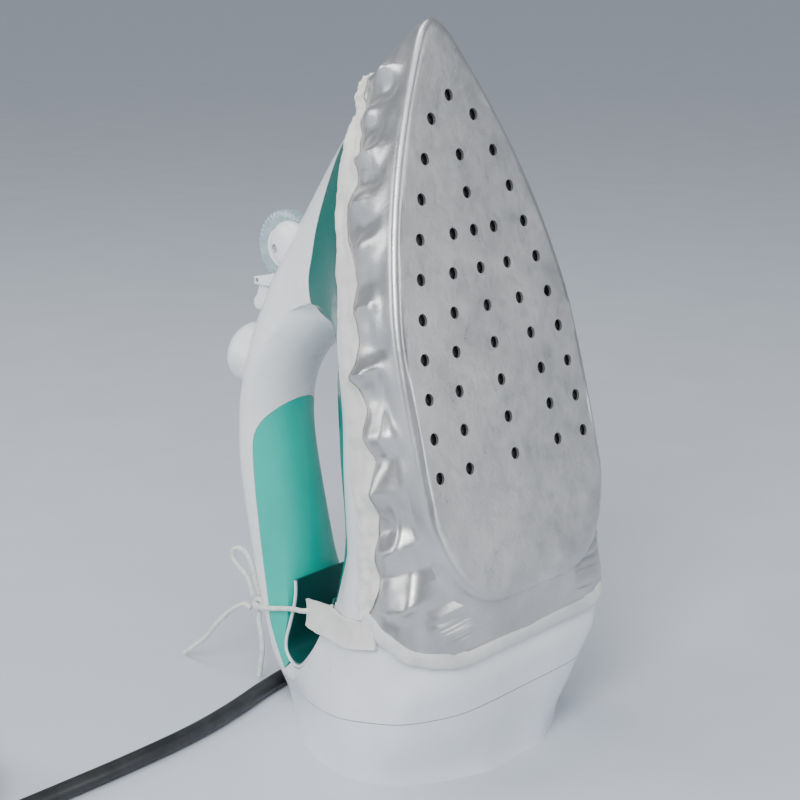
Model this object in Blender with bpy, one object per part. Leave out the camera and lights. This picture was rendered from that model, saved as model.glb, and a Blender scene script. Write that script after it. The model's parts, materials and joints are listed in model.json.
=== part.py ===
# Steam iron standing on its heel, dressed in a tied-on fabric ironing cover.
#
# The iron is drawn flat, in "ironing" axes in millimetres: x to one side, y along the sole
# from its rear edge (0) to the tip, z from the pressing face up to the handle. The empty
# "iron_frame" tips those axes back onto the heel. World: metres, +Z up, the origin in the
# middle of the flat heel rest, the tip pointing up, the pressing face towards -Y.
import math

import bmesh
import bpy
import numpy as np
from mathutils import Matrix, Vector

for old in list(bpy.data.objects):
    bpy.data.objects.remove(old, do_unlink=True)

MM = 0.001

# ---- driving dimensions, mm ----
LEAN = 14.3246            # the sole leans back this far from upright, degrees
FRAME_Y = -64.5           # world place of the sole's rear edge
FRAME_Z = 75.66
HEEL_CUT = 78.1           # where the heel plane crosses z = 0, below the sole's rear edge
SEAM = (-41.6, 0.067)     # the base cap's seam, side view: y = SEAM[0] + SEAM[1] z
WALL = 2.4                # moulded wall
SKIN = 3.1                # how far the skirt sits inside the cover
GAP = 0.3
SOLE_LENGTH = 223.0
COVER_T = 1.5
PLATE_Z = (1.9, 7.4)
HOLE_D = 4.8              # eyelets in the cover
HOLE_PITCH = 14.59
CORD_D = 7.0
CORD_LENGTH = 1800.0
STRING_D = 2.2
DIAL_D = 31.0
DIAL_AT = (148.4, 99.6)   # thumbwheel axis, side view
BUTTON_TRAVEL = 4.0
T = math.tan(math.radians(LEAN))

# Half-widths of the sole against y.
SOLE_Y = [0, 2, 8, 18, 33, 48, 70, 92, 113, 134, 165, 186, 202, 212, 219, 223]
SOLE_H = [20, 30, 40, 48, 54, 55, 55, 54.5, 52.5, 48, 37, 27, 18, 12, 6.5, 1.5]

# Body sections: y: (bottom z, [half-width, z] corners up to the shoulder, top z).
BODY = {
    -112: (30.5, [(25, 36), (43, 45.5), (53.5, 57), (56.5, 71), (49, 96), (32, 117), (21, 125)], 129),
    -90: (30, [(26, 35), (44, 44.5), (54, 56), (57, 70.5), (50, 96), (33, 119), (21, 127.5)], 131),
    -70: (29, [(27, 33), (45, 42.5), (54.5, 54.5), (57.5, 70), (51, 96), (33, 120), (21, 130)], 133.5),
    -45: (19, [(38, 22), (53, 34), (58, 49), (57, 70), (46, 97), (30, 119), (20, 130.5)], 136),
    -20: (10, [(50, 12), (57.5, 22), (58, 38), (55, 60), (40, 92), (23, 121), (17, 140)], 147),
    5: (8, [(53, 10), (57, 20), (56.5, 36), (51, 56), (31, 83), (18.5, 114), (16.5, 140)], 147.5),
    30: (8, [(53, 10), (56, 20), (54.5, 34), (44, 55), (25.5, 75), (17.5, 114), (16.5, 139)], 146.5),
    55: (8, [(52, 10), (55, 19), (53, 31), (42, 52), (24.5, 72), (17, 112), (16.5, 137)], 145),
    80: (8, [(49.5, 10), (52.5, 18), (50, 29), (39, 49), (24, 67), (18, 106), (17, 131)], 139),
    105: (8, [(45.5, 10), (48.5, 18), (46.5, 28), (38, 46), (25, 62), (20, 94), (17.5, 119)], 127.5),
    128: (8, [(40, 10), (43, 17.5), (41.5, 28), (35, 42), (27, 58), (21.5, 82), (17, 102)], 111),
    148: (8, [(33.5, 10), (36.5, 17), (35.5, 28), (31, 41), (26, 54), (20.5, 70), (15, 84)], 93),
    165: (8, [(26.5, 10), (29.5, 17), (29, 27), (26.5, 37), (23, 47), (18, 58), (12.5, 68)], 75.5),
    180: (8, [(19, 10), (22, 16), (22, 25), (20.5, 33), (18, 41), (14, 48.5), (9, 55)], 60),
    192: (8, [(11, 10), (13.5, 15), (14, 22), (13, 29), (11, 35), (8.5, 40), (5, 44)], 47),
    200: (9, [(3, 10.5), (4.5, 14), (5, 20), (5, 25), (4.2, 30), (3, 34), (1.5, 37)], 39),
}
STATIONS = sorted(BODY)

# Outline of the hand opening, side view (y, z), anticlockwise from the front.
HAND = [(110, 72), (106, 86), (99, 98), (90, 106), (79, 111), (66, 113.5), (50, 114.5), (34, 115),
        (16, 117), (2, 120), (-9, 125), (-17, 129), (-23, 128.5), (-27, 122), (-26.5, 112),
        (-22, 101), (-15, 91), (-6, 84.5), (6, 80.5), (35, 77), (68, 73), (92, 68.5), (104, 66)]

# Colour splits, side view: white skirt below, teal tank between, white handle above.
SKIRT_TOP = [(203, 30), (192, 36), (170, 38), (148, 39), (126, 43), (103, 50), (68, 58), (48, 62), (24, 68), (4, 75)]
TANK_TOP = [(203, 44), (192, 46), (176, 51), (159, 58), (144, 64), (133, 69), (120, 70), (112, 66)]
GRIP_TOP = [(91, 84), (89.5, 97), (82, 114), (74, 124), (62, 129), (37, 133), (0, 137), (-10, 138), (-22, 134.6), (-29, 131)]

frame = bpy.data.objects.new("iron_frame", None)
bpy.context.scene.collection.objects.link(frame)
frame.location = (0, FRAME_Y * MM, FRAME_Z * MM)
frame.rotation_euler = (math.radians(90 + LEAN), 0, math.pi)

# ---- materials ----


def material(name, colour, roughness=0.4, metallic=0.0, alpha=1.0):
    mat = bpy.data.materials.new(name)
    mat.use_nodes = True
    bsdf = mat.node_tree.nodes["Principled BSDF"]
    bsdf.inputs["Base Color"].default_value = (*colour, 1)
    bsdf.inputs["Roughness"].default_value = roughness
    bsdf.inputs["Metallic"].default_value = metallic
    bsdf.inputs["Alpha"].default_value = alpha
    mat.diffuse_color = (*colour, 1)
    return mat


# ---- small geometry helpers; everything below is in ironing millimetres ----


def smooth_step(x):
    x = min(max(x, 0.0), 1.0)
    return x * x * (3 - 2 * x)


def monotone(xs, ys, x):
    """Shape-keeping cubic through rows ys at xs, read at x."""
    xs = np.asarray(xs, float)
    ys = np.asarray(ys, float)
    h = np.diff(xs)
    d = (np.diff(ys, axis=0).T / h).T
    m = np.zeros_like(ys)
    for i in range(1, len(xs) - 1):
        a, b = d[i - 1], d[i]
        w1, w2 = 2 * h[i] + h[i - 1], h[i] + 2 * h[i - 1]
        safe_a = np.where(a * b > 0, a, 1.0)
        safe_b = np.where(a * b > 0, b, 1.0)
        m[i] = np.where(a * b > 0, (w1 + w2) / (w1 / safe_a + w2 / safe_b), 0)
    m[0], m[-1] = d[0], d[-1]
    i = int(np.clip(np.searchsorted(xs, x) - 1, 0, len(xs) - 2))
    t = (x - xs[i]) / h[i]
    return ((2 * t**3 - 3 * t**2 + 1) * ys[i] + (t**3 - 2 * t**2 + t) * h[i] * m[i]
            + (3 * t**2 - 2 * t**3) * ys[i + 1] + (t**3 - t**2) * h[i] * m[i + 1])


def closed_spline(points, n):
    """Catmull-Rom round a closed polygon, n steps a side."""
    ring = np.asarray(points, float)
    k = len(ring)
    out = []
    for i in range(k):
        p0, p1, p2, p3 = ring[i - 1], ring[i], ring[(i + 1) % k], ring[(i + 2) % k]
        for j in range(n):
            t = j / n
            out.append(0.5 * (2 * p1 + (p2 - p0) * t + (2 * p0 - 5 * p1 + 4 * p2 - p3) * t * t
                              + (3 * p1 - p0 - 3 * p2 + p3) * t**3))
    return np.array(out)


def open_spline(points, spacing):
    """Catmull-Rom through open points, then read at an even spacing."""
    p = [np.asarray(q, float) for q in points]
    p = [2 * p[0] - p[1]] + p + [2 * p[-1] - p[-2]]
    fine = []
    for i in range(1, len(p) - 2):
        p0, p1, p2, p3 = p[i - 1], p[i], p[i + 1], p[i + 2]
        for j in range(24):
            t = j / 24
            fine.append(0.5 * (2 * p1 + (p2 - p0) * t + (2 * p0 - 5 * p1 + 4 * p2 - p3) * t * t
                               + (3 * p1 - p0 - 3 * p2 + p3) * t**3))
    fine.append(p[-2])
    fine = np.array(fine)
    run = np.concatenate([[0], np.cumsum(np.linalg.norm(np.diff(fine, axis=0), axis=1))])
    count = max(2, int(round(run[-1] / spacing)) + 1)
    at = np.linspace(0, run[-1], count)
    return np.column_stack([np.interp(at, run, fine[:, k]) for k in range(fine.shape[1])])


def offset(ring, amounts):
    """Moves a closed anticlockwise ring inwards by amounts."""
    tangent = np.roll(ring, -1, axis=0) - np.roll(ring, 1, axis=0)
    tangent /= np.maximum(np.linalg.norm(tangent, axis=1), 1e-9)[:, None]
    inward = np.column_stack([-tangent[:, 1], tangent[:, 0]])
    return ring + inward * np.asarray(amounts, float).reshape(-1, 1)


BODY_ROWS = np.array([
    np.array([(0, b), (pts[0][0] * 0.6, b)] + pts + [(pts[-1][0] * 0.62, pts[-1][1] + (top - pts[-1][1]) * 0.72), (0, top)]).ravel()
    for b, pts, top in (BODY[y] for y in STATIONS)])


def section(y, n=2):
    """Closed section of the body's outer form at y: (x, z), anticlockwise seen from the tip."""
    row = monotone(STATIONS, BODY_ROWS, y).reshape(-1, 2)
    return closed_spline(np.vstack([row, row[1:-1][::-1] * [-1, 1]]), n)


def surface_h(y, z):
    """Half-width of the body's outer form at (y, z)."""
    s = section(y, 6)
    half = s[: len(s) // 2 + 1]
    order = half[:, 1]
    best = 0.0
    for a, b in zip(half[:-1], half[1:]):
        if (a[1] - z) * (b[1] - z) <= 0 and a[1] != b[1]:
            best = max(best, a[0] + (b[0] - a[0]) * (z - a[1]) / (b[1] - a[1]))
    return float(best) if order.size else 0.0


def sole_h(y):
    return float(monotone(SOLE_Y, np.array(SOLE_H, float).reshape(-1, 1), y)[0])


def link(obj, mat=None, parent=frame, at=(0, 0, 0)):
    bpy.context.scene.collection.objects.link(obj)
    obj.location = Vector(at) * MM
    if parent:
        obj.parent = parent
    if mat:
        obj.data.materials.append(mat)
    return obj


def solid(name, verts, faces, mat=None, at=(0, 0, 0), parent=frame, smooth=40):
    """One mesh object; verts in the parent's millimetres, at is its origin."""
    mesh = bpy.data.meshes.new(name)
    at = Vector(at)
    mesh.from_pydata([(Vector(v) - at) * MM for v in verts], [], [tuple(f) for f in faces])
    mesh.update()
    work = bmesh.new()
    work.from_mesh(mesh)
    bmesh.ops.remove_doubles(work, verts=work.verts, dist=1e-7)
    bmesh.ops.recalc_face_normals(work, faces=work.faces)
    work.to_mesh(mesh)
    work.free()
    mesh.shade_smooth()
    mesh.set_sharp_from_angle(angle=math.radians(smooth))
    return link(bpy.data.objects.new(name, mesh), mat, parent, at)


def helper(obj):
    obj.hide_render = True
    obj.display_type = "WIRE"
    return obj


def rings(name, loops, mat=None, **kw):
    """Skin through closed loops of equal count, with flat ends."""
    n = len(loops[0])
    verts = [p for loop in loops for p in loop]
    faces = []
    for i in range(len(loops) - 1):
        for j in range(n):
            k = (j + 1) % n
            faces.append((i * n + j, i * n + k, (i + 1) * n + k, (i + 1) * n + j))
    faces.append(tuple(range(n))[::-1])
    faces.append(tuple(range((len(loops) - 1) * n, len(loops) * n)))
    return solid(name, verts, faces, mat, **kw)


def prism(name, outline, x0=-90.0, x1=90.0, mat=None, **kw):
    """Side-view outline (y, z) carried along x."""
    a = [(x0, y, z) for y, z in outline]
    b = [(x1, y, z) for y, z in outline]
    return rings(name, [a, b], mat, **kw)


def slab(name, outline, z0, z1, mat=None, **kw):
    """Plan outline (x, y) carried along z."""
    return rings(name, [[(x, y, z0) for x, y in outline], [(x, y, z1) for x, y in outline]], mat, **kw)


def box(name, lo, hi, mat=None, **kw):
    return slab(name, [(lo[0], lo[1]), (hi[0], lo[1]), (hi[0], hi[1]), (lo[0], hi[1])], lo[2], hi[2], mat, **kw)


def axis_matrix(at, direction):
    z = Vector(direction).normalized()
    x = Vector((1, 0, 0)) if abs(z.x) < 0.9 else Vector((0, 1, 0))
    x = (x - z * x.dot(z)).normalized()
    y = z.cross(x)
    m = Matrix((x, y, z)).transposed().to_4x4()
    m.translation = Vector(at)
    return m


def turned(name, profile, at, direction, mat=None, sides=24, teeth=0, depth=0.0, bore=False, **kw):
    """Profile of (radius, height) turned about an axis; teeth ripple the rim. bore joins first to last."""
    m = axis_matrix(at, direction)
    rim_r = max(r for r, h in profile)
    loops = []
    for r, h in profile:
        loop = []
        for j in range(sides):
            rr = r - (depth if teeth and j % 2 and r > 0.8 * rim_r else 0.0)
            a = 2 * math.pi * j / sides
            loop.append(tuple(m @ Vector((rr * math.cos(a), rr * math.sin(a), h))))
        loops.append(loop)
    if not bore:
        return rings(name, loops, mat, at=at, **kw)
    n = sides
    verts = [p for loop in loops for p in loop]
    faces = []
    for i in range(len(loops)):
        k2 = (i + 1) % len(loops)
        for j in range(n):
            k = (j + 1) % n
            faces.append((i * n + j, i * n + k, k2 * n + k, k2 * n + j))
    return solid(name, verts, faces, mat, at=at, **kw)


def tube(name, points, diameter, mat, resolution=2, parent=frame):
    """A round cord along points."""
    curve = bpy.data.curves.new(name, "CURVE")
    curve.dimensions = "3D"
    curve.bevel_depth = diameter / 2 * MM
    curve.bevel_resolution = resolution
    curve.use_fill_caps = True
    spline = curve.splines.new("POLY")
    spline.points.add(len(points) - 1)
    for p, q in zip(spline.points, points):
        p.co = (q[0] * MM, q[1] * MM, q[2] * MM, 1)
    return link(bpy.data.objects.new(name, curve), mat, parent)


def cut(obj, cutter, how="DIFFERENCE"):
    mod = obj.modifiers.new(how.lower(), "BOOLEAN")
    mod.operation = how
    mod.solver = "EXACT"
    mod.object = cutter
    return obj


# ---- colours ----
WHITE = (0.86, 0.87, 0.88)
TEAL = (0.014, 0.46, 0.38)
DEEP = (0.0, 0.19, 0.15)
white = material("white_moulding", WHITE, 0.32)
white_low = material("white_lower_moulding", (0.84, 0.86, 0.87), 0.35)
white_cap = material("white_cap_moulding", (0.83, 0.85, 0.87), 0.36)
teal_grip = material("teal_soft_grip", TEAL, 0.45)
teal_tank = material("teal_tank", DEEP, 0.2)
teal_dark = material("teal_liner", (0.0, 0.06, 0.06), 0.4)
silver = material("silver_cover", (0.42, 0.44, 0.46), 0.45, 0.4)
cream = material("cream_tape", (0.86, 0.84, 0.79), 0.85)
string = material("white_string", (0.85, 0.85, 0.85), 0.8)
aluminium = material("cast_aluminium", (0.6, 0.61, 0.62), 0.35, 1.0)
steel = material("steel", (0.5, 0.5, 0.52), 0.3, 1.0)
brass = material("brass", (0.7, 0.52, 0.22), 0.3, 1.0)
clear_blue = material("clear_blue_grey", (0.45, 0.6, 0.64), 0.25)
rubber = material("black_rubber", (0.012, 0.012, 0.013), 0.6)
cord_black = material("black_cord", (0.01, 0.01, 0.011), 0.5)
grey = material("grey_moulding", (0.25, 0.26, 0.28), 0.5)
amber = material("amber_lens", (0.9, 0.35, 0.05), 0.2)

# ---- hidden shapes that the mouldings are cut from ----
LOFT_Y = [-112, -90, -70, -57, -45, -33, -26, -18, -6, 8, 24, 42, 60, 77, 92, 106, 119, 131, 143, 154, 165, 176, 187, 192, 196.5, 200]


def under_cover(y, z):
    """How far the moulding stands inside the outer form where the cover wraps it."""
    return SKIN * smooth_step((y + 32) / 9) * (1 - smooth_step((z - 39.5) / 4.5)) * smooth_step((202 - y) / 12)


def form(name, depth, y_max=200, mat=None):
    loops = []
    for y in LOFT_Y:
        if y > y_max:
            continue
        s = section(y)
        limit = 0.32 * np.abs(s[:, 0]).max()
        amounts = [min(depth + under_cover(y, z), limit) for _, z in s]
        s = offset(s, amounts)
        loops.append([(x, y, z) for x, z in s])
    return rings(name, loops, mat)


hand_ring = closed_spline(HAND, 2)[::-1]        # made anticlockwise in (y, z)
area = 0.5 * sum(a[0] * b[1] - b[0] * a[1] for a, b in zip(hand_ring, np.roll(hand_ring, -1, axis=0)))
if area < 0:
    hand_ring = hand_ring[::-1]
hand_cutter = helper(prism("hand_opening", hand_ring))
hand_wide = helper(prism("hand_opening_wall", offset(hand_ring, [-WALL] * len(hand_ring)), -95, 95))


def heel(z, up=0.0):
    """y of the plane that lies up mm over the heel rest."""
    return T * z - HEEL_CUT + up / math.cos(math.radians(LEAN))


def seam(z, up=0.0):
    """y of the joint between the base cap and the mouldings over it."""
    return SEAM[0] + SEAM[1] * z + up


above_floor = helper(prism("over_floor_wall", [(heel(-5, 2.6), -5), (230, -5), (230, 170), (heel(170, 2.6), 170)], -100, 100))
hollow = helper(form("hollow", WALL, 187))
cut(hollow, above_floor, "INTERSECT")
cut(hollow, hand_wide)
sole_recess = helper(slab("sole_recess", [(s * (sole_h(y) - 8.5) * (1 if y < 150 else 0.86), y) for s, ys in ((1, [6, 20, 40, 70, 100, 130, 155, 176]), (-1, [176, 155, 130, 100, 70, 40, 20, 6])) for y in ys], 5, 14))


def moulding(name, outline, mat):
    obj = form(name, 0.0, mat=mat)
    region = helper(prism(name + "_region", outline, -85, 85))
    cut(obj, region, "INTERSECT")
    cut(obj, hand_cutter)
    cut(obj, hollow)
    return obj


def shift(points, dz, dy=0.0):
    return [(y + dy, z + dz) for y, z in points]


G = 0.2
base_cap = moulding("base_cap", [(heel(0), 0), (seam(0, -G), 0), (seam(160, -G), 160), (heel(160), 160)], white_cap)
SPLIT_Z = 112
lower_outline = ([(seam(8.3, G), 8.3), (203, 8.3)] + shift(SKIRT_TOP, -G)
                 + [(3.6, 84), (-6, 100), (-18, SPLIT_Z - G), (seam(SPLIT_Z, G), SPLIT_Z - G)])
lower_housing = cut(moulding("lower_housing", lower_outline, white_low), sole_recess)
tank_outline = (shift(SKIRT_TOP, G)[::-1] + shift(TANK_TOP[:-1], -G) + [(111.8, 65.8), (105.8, 71.8), (102, 76), (60, 92), (12, 98), (4.0, 86)])
water_tank = moulding("water_tank", tank_outline, teal_tank)
handle_outline = ([(seam(SPLIT_Z, G), SPLIT_Z + G), (-18, SPLIT_Z + G), (-24, 120)]
                  + [(-29.5, 131.5), (-22.2, 135.2), (-10, 138.6), (0, 137.6), (37, 133.6), (62.3, 129.6), (74.5, 124.5), (82.6, 114.4), (90.1, 97.3), (91.6, 84)]
                  + [(102, 78), (106.2, 72.2), (112.2, 66.2)] + shift(TANK_TOP[:-1], G)[::-1] + [(203, 165), (seam(165, G), 165)])
handle_shell = moulding("handle_shell", handle_outline, white)
grip_outline = GRIP_TOP + [(-22, 120), (0, 112), (50, 104), (80, 96)]
grip_insert = moulding("grip_insert", grip_outline, teal_grip)

# Teal liner of the opening's lower end: a curved band that stands just inside the cut.
low_part = helper(prism("liner_region", [(-32, 70), (3.4, 70), (3.4, 109), (-12, 121), (-24, 126), (-32, 140)], -80, 80))
liner_hole = helper(prism("liner_hole", offset(hand_ring, [GAP + 1.8] * len(hand_ring)), -88, 88))
bowl_liner = form("bowl_liner", 2.0, mat=teal_dark)
liner_body = helper(prism("liner_body", offset(hand_ring, [GAP] * len(hand_ring)), -86, 86))
cut(bowl_liner, low_part, "INTERSECT")
cut(bowl_liner, liner_body, "INTERSECT")
cut(bowl_liner, liner_hole)

# ---- sole and what heats it ----


def sole_outline(inset, ys, y0=0.0, y1=None):
    right = []
    for y in ys:
        a, b = sole_h(max(y - 1.5, 0)), sole_h(min(y + 1.5, SOLE_LENGTH))
        slope = (b - a) / 3.0
        n = math.hypot(1, slope)
        right.append((sole_h(y) - inset / n, y + inset * slope / n))
    return right + [(-x, y) for x, y in right[::-1]]


PLATE_Y = [4, 7, 12, 20, 32, 48, 70, 92, 113, 134, 152, 168, 184, 198, 206, 212]
soleplate = rings("soleplate", [[(x, y, PLATE_Z[0]) for x, y in sole_outline(3.2, PLATE_Y)],
                                [(x, y * 0.985 + 0.8, PLATE_Z[1]) for x, y in sole_outline(6.4, PLATE_Y)]], aluminium)
jets = []
for y in (60, 85, 110, 135, 158, 180):
    for side in (-1, 1):
        jets.append((side * (sole_h(y) - 13), y))
jets += [(0, 196), (0, 172), (0, 148), (0, 124)]
jet_verts, jet_faces = [], []
for x, y in jets:
    base = len(jet_verts)
    for z in (0, 10):
        jet_verts += [(x + 1.6 * math.cos(a), y + 1.6 * math.sin(a), z) for a in (i * math.pi / 3 + 0.2 for i in range(6))]
    jet_faces += [[base + i, base + (i + 1) % 6, base + 6 + (i + 1) % 6, base + 6 + i] for i in range(6)]
    jet_faces += [[base + i for i in range(6)][::-1], [base + 6 + i for i in range(6)]]
cut(soleplate, helper(solid("steam_jets", jet_verts, jet_faces)))

element_path = [(-33, 18, 11.2), (-35, 45, 11.2), (-33, 85, 11.2), (-27, 120, 11.2), (-17, 145, 11.2), (0, 157, 11.2),
                (17, 145, 11.2), (27, 120, 11.2), (33, 85, 11.2), (35, 45, 11.2), (33, 18, 11.2)]
heating_element = tube("heating_element", open_spline(element_path, 16), 6.6, steel)

chamber_plan = [(-22, 32), (22, 32), (24, 60), (22, 95), (15, 120), (0, 132), (-15, 120), (-22, 95), (-24, 60)]
steam_chamber = slab("steam_chamber", chamber_plan, 7.7, 17.7, aluminium)
cut(steam_chamber, helper(slab("chamber_hollow", [(x * 0.84, 78 + (y - 78) * 0.9) for x, y in chamber_plan], 10.2, 25)))
chamber_gasket = slab("chamber_gasket", chamber_plan, 18.0, 19.0, rubber)
cut(chamber_gasket, helper(slab("gasket_hollow", [(x * 0.86, 78 + (y - 78) * 0.92) for x, y in chamber_plan], 10, 30)))
chamber_lid = slab("chamber_lid", chamber_plan, 19.3, 20.9, steel)
VALVE = (0.0, 95.0)
lid_hole = helper(turned("lid_hole", [(4, -20), (4, 20)], (VALVE[0], VALVE[1], 20), (0, 0, 1), sides=12))
cut(chamber_lid, lid_hole)

inner_y = [4, 15, 30, 50, 75, 100, 125, 148, 166, 176]
shield_plan = [(surface_h(y, 21) - 7.0, y) for y in inner_y]
shield_plan += [(-x, y) for x, y in shield_plan[::-1]]
heat_shield = slab("heat_shield", shield_plan, 22.0, 24.0, steel)
cut(heat_shield, lid_hole)
floor_plan = [(surface_h(y, 31) - 7.4, y) for y in inner_y[1:]]
floor_plan += [(-x, y) for x, y in floor_plan[::-1]]
tank_floor = slab("tank_floor", floor_plan, 30.0, 32.2, teal_tank)
cut(tank_floor, lid_hole)
drip_valve_body = turned("drip_valve_body", [(3.4, 18.0), (3.4, 32.6), (7.0, 32.6), (7.0, 38), (2.0, 38), (2.0, 18.0)], (VALVE[0], VALVE[1], 0), (0, 0, 1), grey, sides=14, bore=True)
drip_needle = turned("drip_needle", [(0.6, 16.5), (1.5, 20), (1.5, 56)], (VALVE[0], VALVE[1], 0), (0, 0, 1), steel, sides=10)
thermostat = box("thermostat", (-9, 10, 7.8), (9, 28, 17), grey)
thermal_fuse = turned("thermal_fuse", [(2.2, 0), (2.8, 2), (2.8, 20), (2.2, 22)], (15.5, 8, 11), (0, 1, 0), steel, sides=10)

# ---- thumbwheel, filler flap and steam button on the front of the handle ----


def crest(y):
    return float(section(y, 6)[:, 1].max())


def crest_normal(y):
    return Vector((0, -(crest(y + 3) - crest(y - 3)) / 6, 1)).normalized()


X = Vector((1, 0, 0))
wheel_at = Vector((0, *DIAL_AT))
R = DIAL_D / 2
outer_skin = helper(form("outer_skin", -GAP))
cut(handle_shell, helper(turned("wheel_slot", [(R + 0.8, -4.6), (R + 0.8, 4.6)], wheel_at, X, sides=32)))
temperature_dial = turned("temperature_dial", [(9.2, -4), (R - 1.2, -4), (R, -2.8), (R, 2.8), (R - 1.2, 4), (9.2, 4)],
                          wheel_at, X, clear_blue, sides=48, teeth=24, depth=0.6, bore=True)
dial_hub = turned("dial_hub", [(2.0, -4.0), (8.9, -4.0), (8.9, 4.0), (2.0, 4.0)], wheel_at, X, white, sides=20, bore=True)
dial_axle = turned("dial_axle", [(1.6, -8.0), (1.6, 8.0)], wheel_at, X, steel, sides=12)
for side, word in ((1, "left"), (-1, "right")):
    cheek = turned("dial_cheek_" + word, [(9.5, 4.6 * side), (9.5, 7.6 * side), (7.5, 9.2 * side)], (0, 149, 93.5), X, white, sides=28)
    cut(cheek, helper(turned("axle_bore_" + word, [(1.95, -12), (1.95, 12)], wheel_at, X, sides=12)))
    cut(cheek, outer_skin)
regulator_switch = box("regulator_switch", (-7, 139, 68), (7, 152, 79), grey)

PIN = (137.0, 112.4)
round_end = [(PIN[0] + 1.3 * math.cos(a), PIN[1] + 1.3 * math.sin(a)) for a in (math.radians(d) for d in (-60, -20, 20, 60, 100))]
flap_outline = round_end + [(131.2, 116.2), (129.2, 119.0), (126.6, 119.6), (124.2, 118.0), (124.6, 114.9), (129.0, 111.9), (133.0, 108.4)]
filler_flap = prism("filler_flap", flap_outline, -8, 8, white, at=(0, *PIN))
cut(filler_flap, helper(turned("pin_bore", [(0.75, -12), (0.75, 12)], (0, *PIN), X, sides=10)))
flap_pin = turned("flap_pin", [(0.6, -10.5), (0.6, 10.5)], (0, *PIN), X, steel, sides=10)
for side, word in ((1, "left"), (-1, "right")):
    lug = prism("flap_lug_" + word, [(138.6, 113.6), (135.6, 114.2), (133.6, 106), (138.2, 101)], 8.4 * side, 10.2 * side, white)
    cut(lug, helper(turned("lug_bore_" + word, [(0.9, -14), (0.9, 14)], (0, *PIN), X, sides=10)))
    cut(lug, outer_skin)
FILL = (0.0, 128.0)
cut(handle_shell, helper(turned("filler_bore", [(3.9, 60), (3.9, 122)], (FILL[0], FILL[1], 0), (0, 0, 1), sides=20)))
filler_neck = turned("filler_neck", [(3.6, 62), (3.6, 103), (2.7, 103), (2.7, 62)], (FILL[0], FILL[1], 0), (0, 0, 1), grey, sides=18, bore=True)

button_at = Vector((0, 104.0, crest(104.0)))
button_n = crest_normal(97.0)
cut(handle_shell, helper(turned("button_well", [(13.9, -13), (13.9, 30)], button_at, button_n, sides=24)))
steam_button = turned("steam_button", [(1.0, 8.2), (9.3, 8.2), (9.6, -6.5), (13.4, -6.5), (13.5, 4), (13.3, 8), (12.2, 10.8), (9.6, 12.6), (5.0, 13.5), (1.2, 13.7)],
                      button_at, button_n, white, sides=24)
pump_plunger = turned("pump_plunger", [(2.0, -11.5), (2.0, 7.9)], button_at, button_n, grey, sides=14)
pump_body = turned("pump_body", [(2.4, -16.8), (2.4, -9.5), (6.6, -9.5), (6.6, -18.4), (1.0, -18.4), (1.0, -16.8)], button_at, button_n, grey, sides=18, bore=True)
turns = []
m = axis_matrix(button_at, button_n)
for i in range(41):
    a = i / 40 * 2 * math.pi * 4.5
    turns.append(tuple(m @ Vector((4.6 * math.cos(a), 4.6 * math.sin(a), -8.3 + 15.3 * i / 40))))
pump_spring = tube("pump_spring", turns, 1.0, steel, 0)

# ---- fabric cover and its drawstring ----
# Outline point (x, y) at the pressing face against the rim point (y, z) on the moulding.
COVER_ROWS = [
    ((0, 222.5), (205.6, 27.0, 0.0)), ((6.5, 219), (204.0, 27.5, 5.2)), ((12, 212), (199.5, 28.5, 8.2)),
    ((18, 202), (193, 29.5, None)), ((27, 186), (181, 30, None)), ((37, 165), (163, 30, None)),
    ((46, 140), (140, 29, None)), ((52.5, 113), (113, 28, None)), ((54.5, 92), (92, 27, None)),
    ((55, 70), (70, 26, None)), ((55, 48), (48, 26, None)), ((54, 33), (32, 28, None)), ((48, 18), (17, 30, None)),
    ((40, 8), (4, 32, None)), ((30, 2), (-7, 29, None)), ((20, 0), (-14.5, 15, None)), ((10, -0.2), (-17.8, 10.2, 36.0)),
    ((0, -0.2), (-19.0, 9.7, 0.0)),
]


def cover_rim(row):
    y, z, x = row[1]
    return (surface_h(y, z) + 0.4 if x is None else x, y, z)


def both_sides(points):
    """Mirrors a tip-to-heel run of (x, ...) into one closed anticlockwise ring."""
    return points[::-1] + [(-p[0], *p[1:]) for p in points[1:-1]]


base_ring = np.array(both_sides([row[0] for row in COVER_ROWS]))
rim_ring = np.array(both_sides([cover_rim(row) for row in COVER_ROWS]))


def plan_inset(ring, d):
    return offset(ring[:, :2], [d] * len(ring))


def at_height(xy, z):
    return [(x, y, h) for (x, y), h in zip(xy, np.broadcast_to(z, len(xy)))]


def up_the_wall(ya, t):
    """Ring part way up the cover's side, kept outside the moulding's corner."""
    ring = []
    for (xa, y0), (xb, y1, z1) in zip(base_ring, rim_ring):
        y, z = y0 + (y1 - y0) * ya, 2.4 + (z1 - 2.4) * t
        x = xa + (xb - xa) * t
        if abs(xb) > 12 and z > 11:
            x = math.copysign(max(abs(x), surface_h(y, z) + 1.0), x)
        ring.append((x, y, z))
    return ring


def inside(ring):
    """The same ring on the cover's inner face."""
    ring = np.asarray(ring, float)
    return at_height(plan_inset(ring, COVER_T), ring[:, 2])


edge = at_height(base_ring, 2.4)
rim = [tuple(p) for p in rim_ring]
low_wall, high_wall = up_the_wall(0.4, 0.4), up_the_wall(0.75, 0.72)
inner_base = plan_inset(base_ring, COVER_T)
inner_edge = at_height(inner_base, 2.6)
inner_rim = at_height(plan_inset(rim_ring, COVER_T), rim_ring[:, 2])
cover_loops = [at_height(plan_inset(base_ring, 2.2), 0.0), at_height(plan_inset(base_ring, 0.5), 0.6), edge, low_wall, high_wall, rim,
               inner_rim, inside(high_wall), inside(low_wall), inner_edge, at_height(plan_inset(base_ring, 3.2), COVER_T)]
cover_shell = rings("cover_shell", cover_loops, silver)

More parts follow.
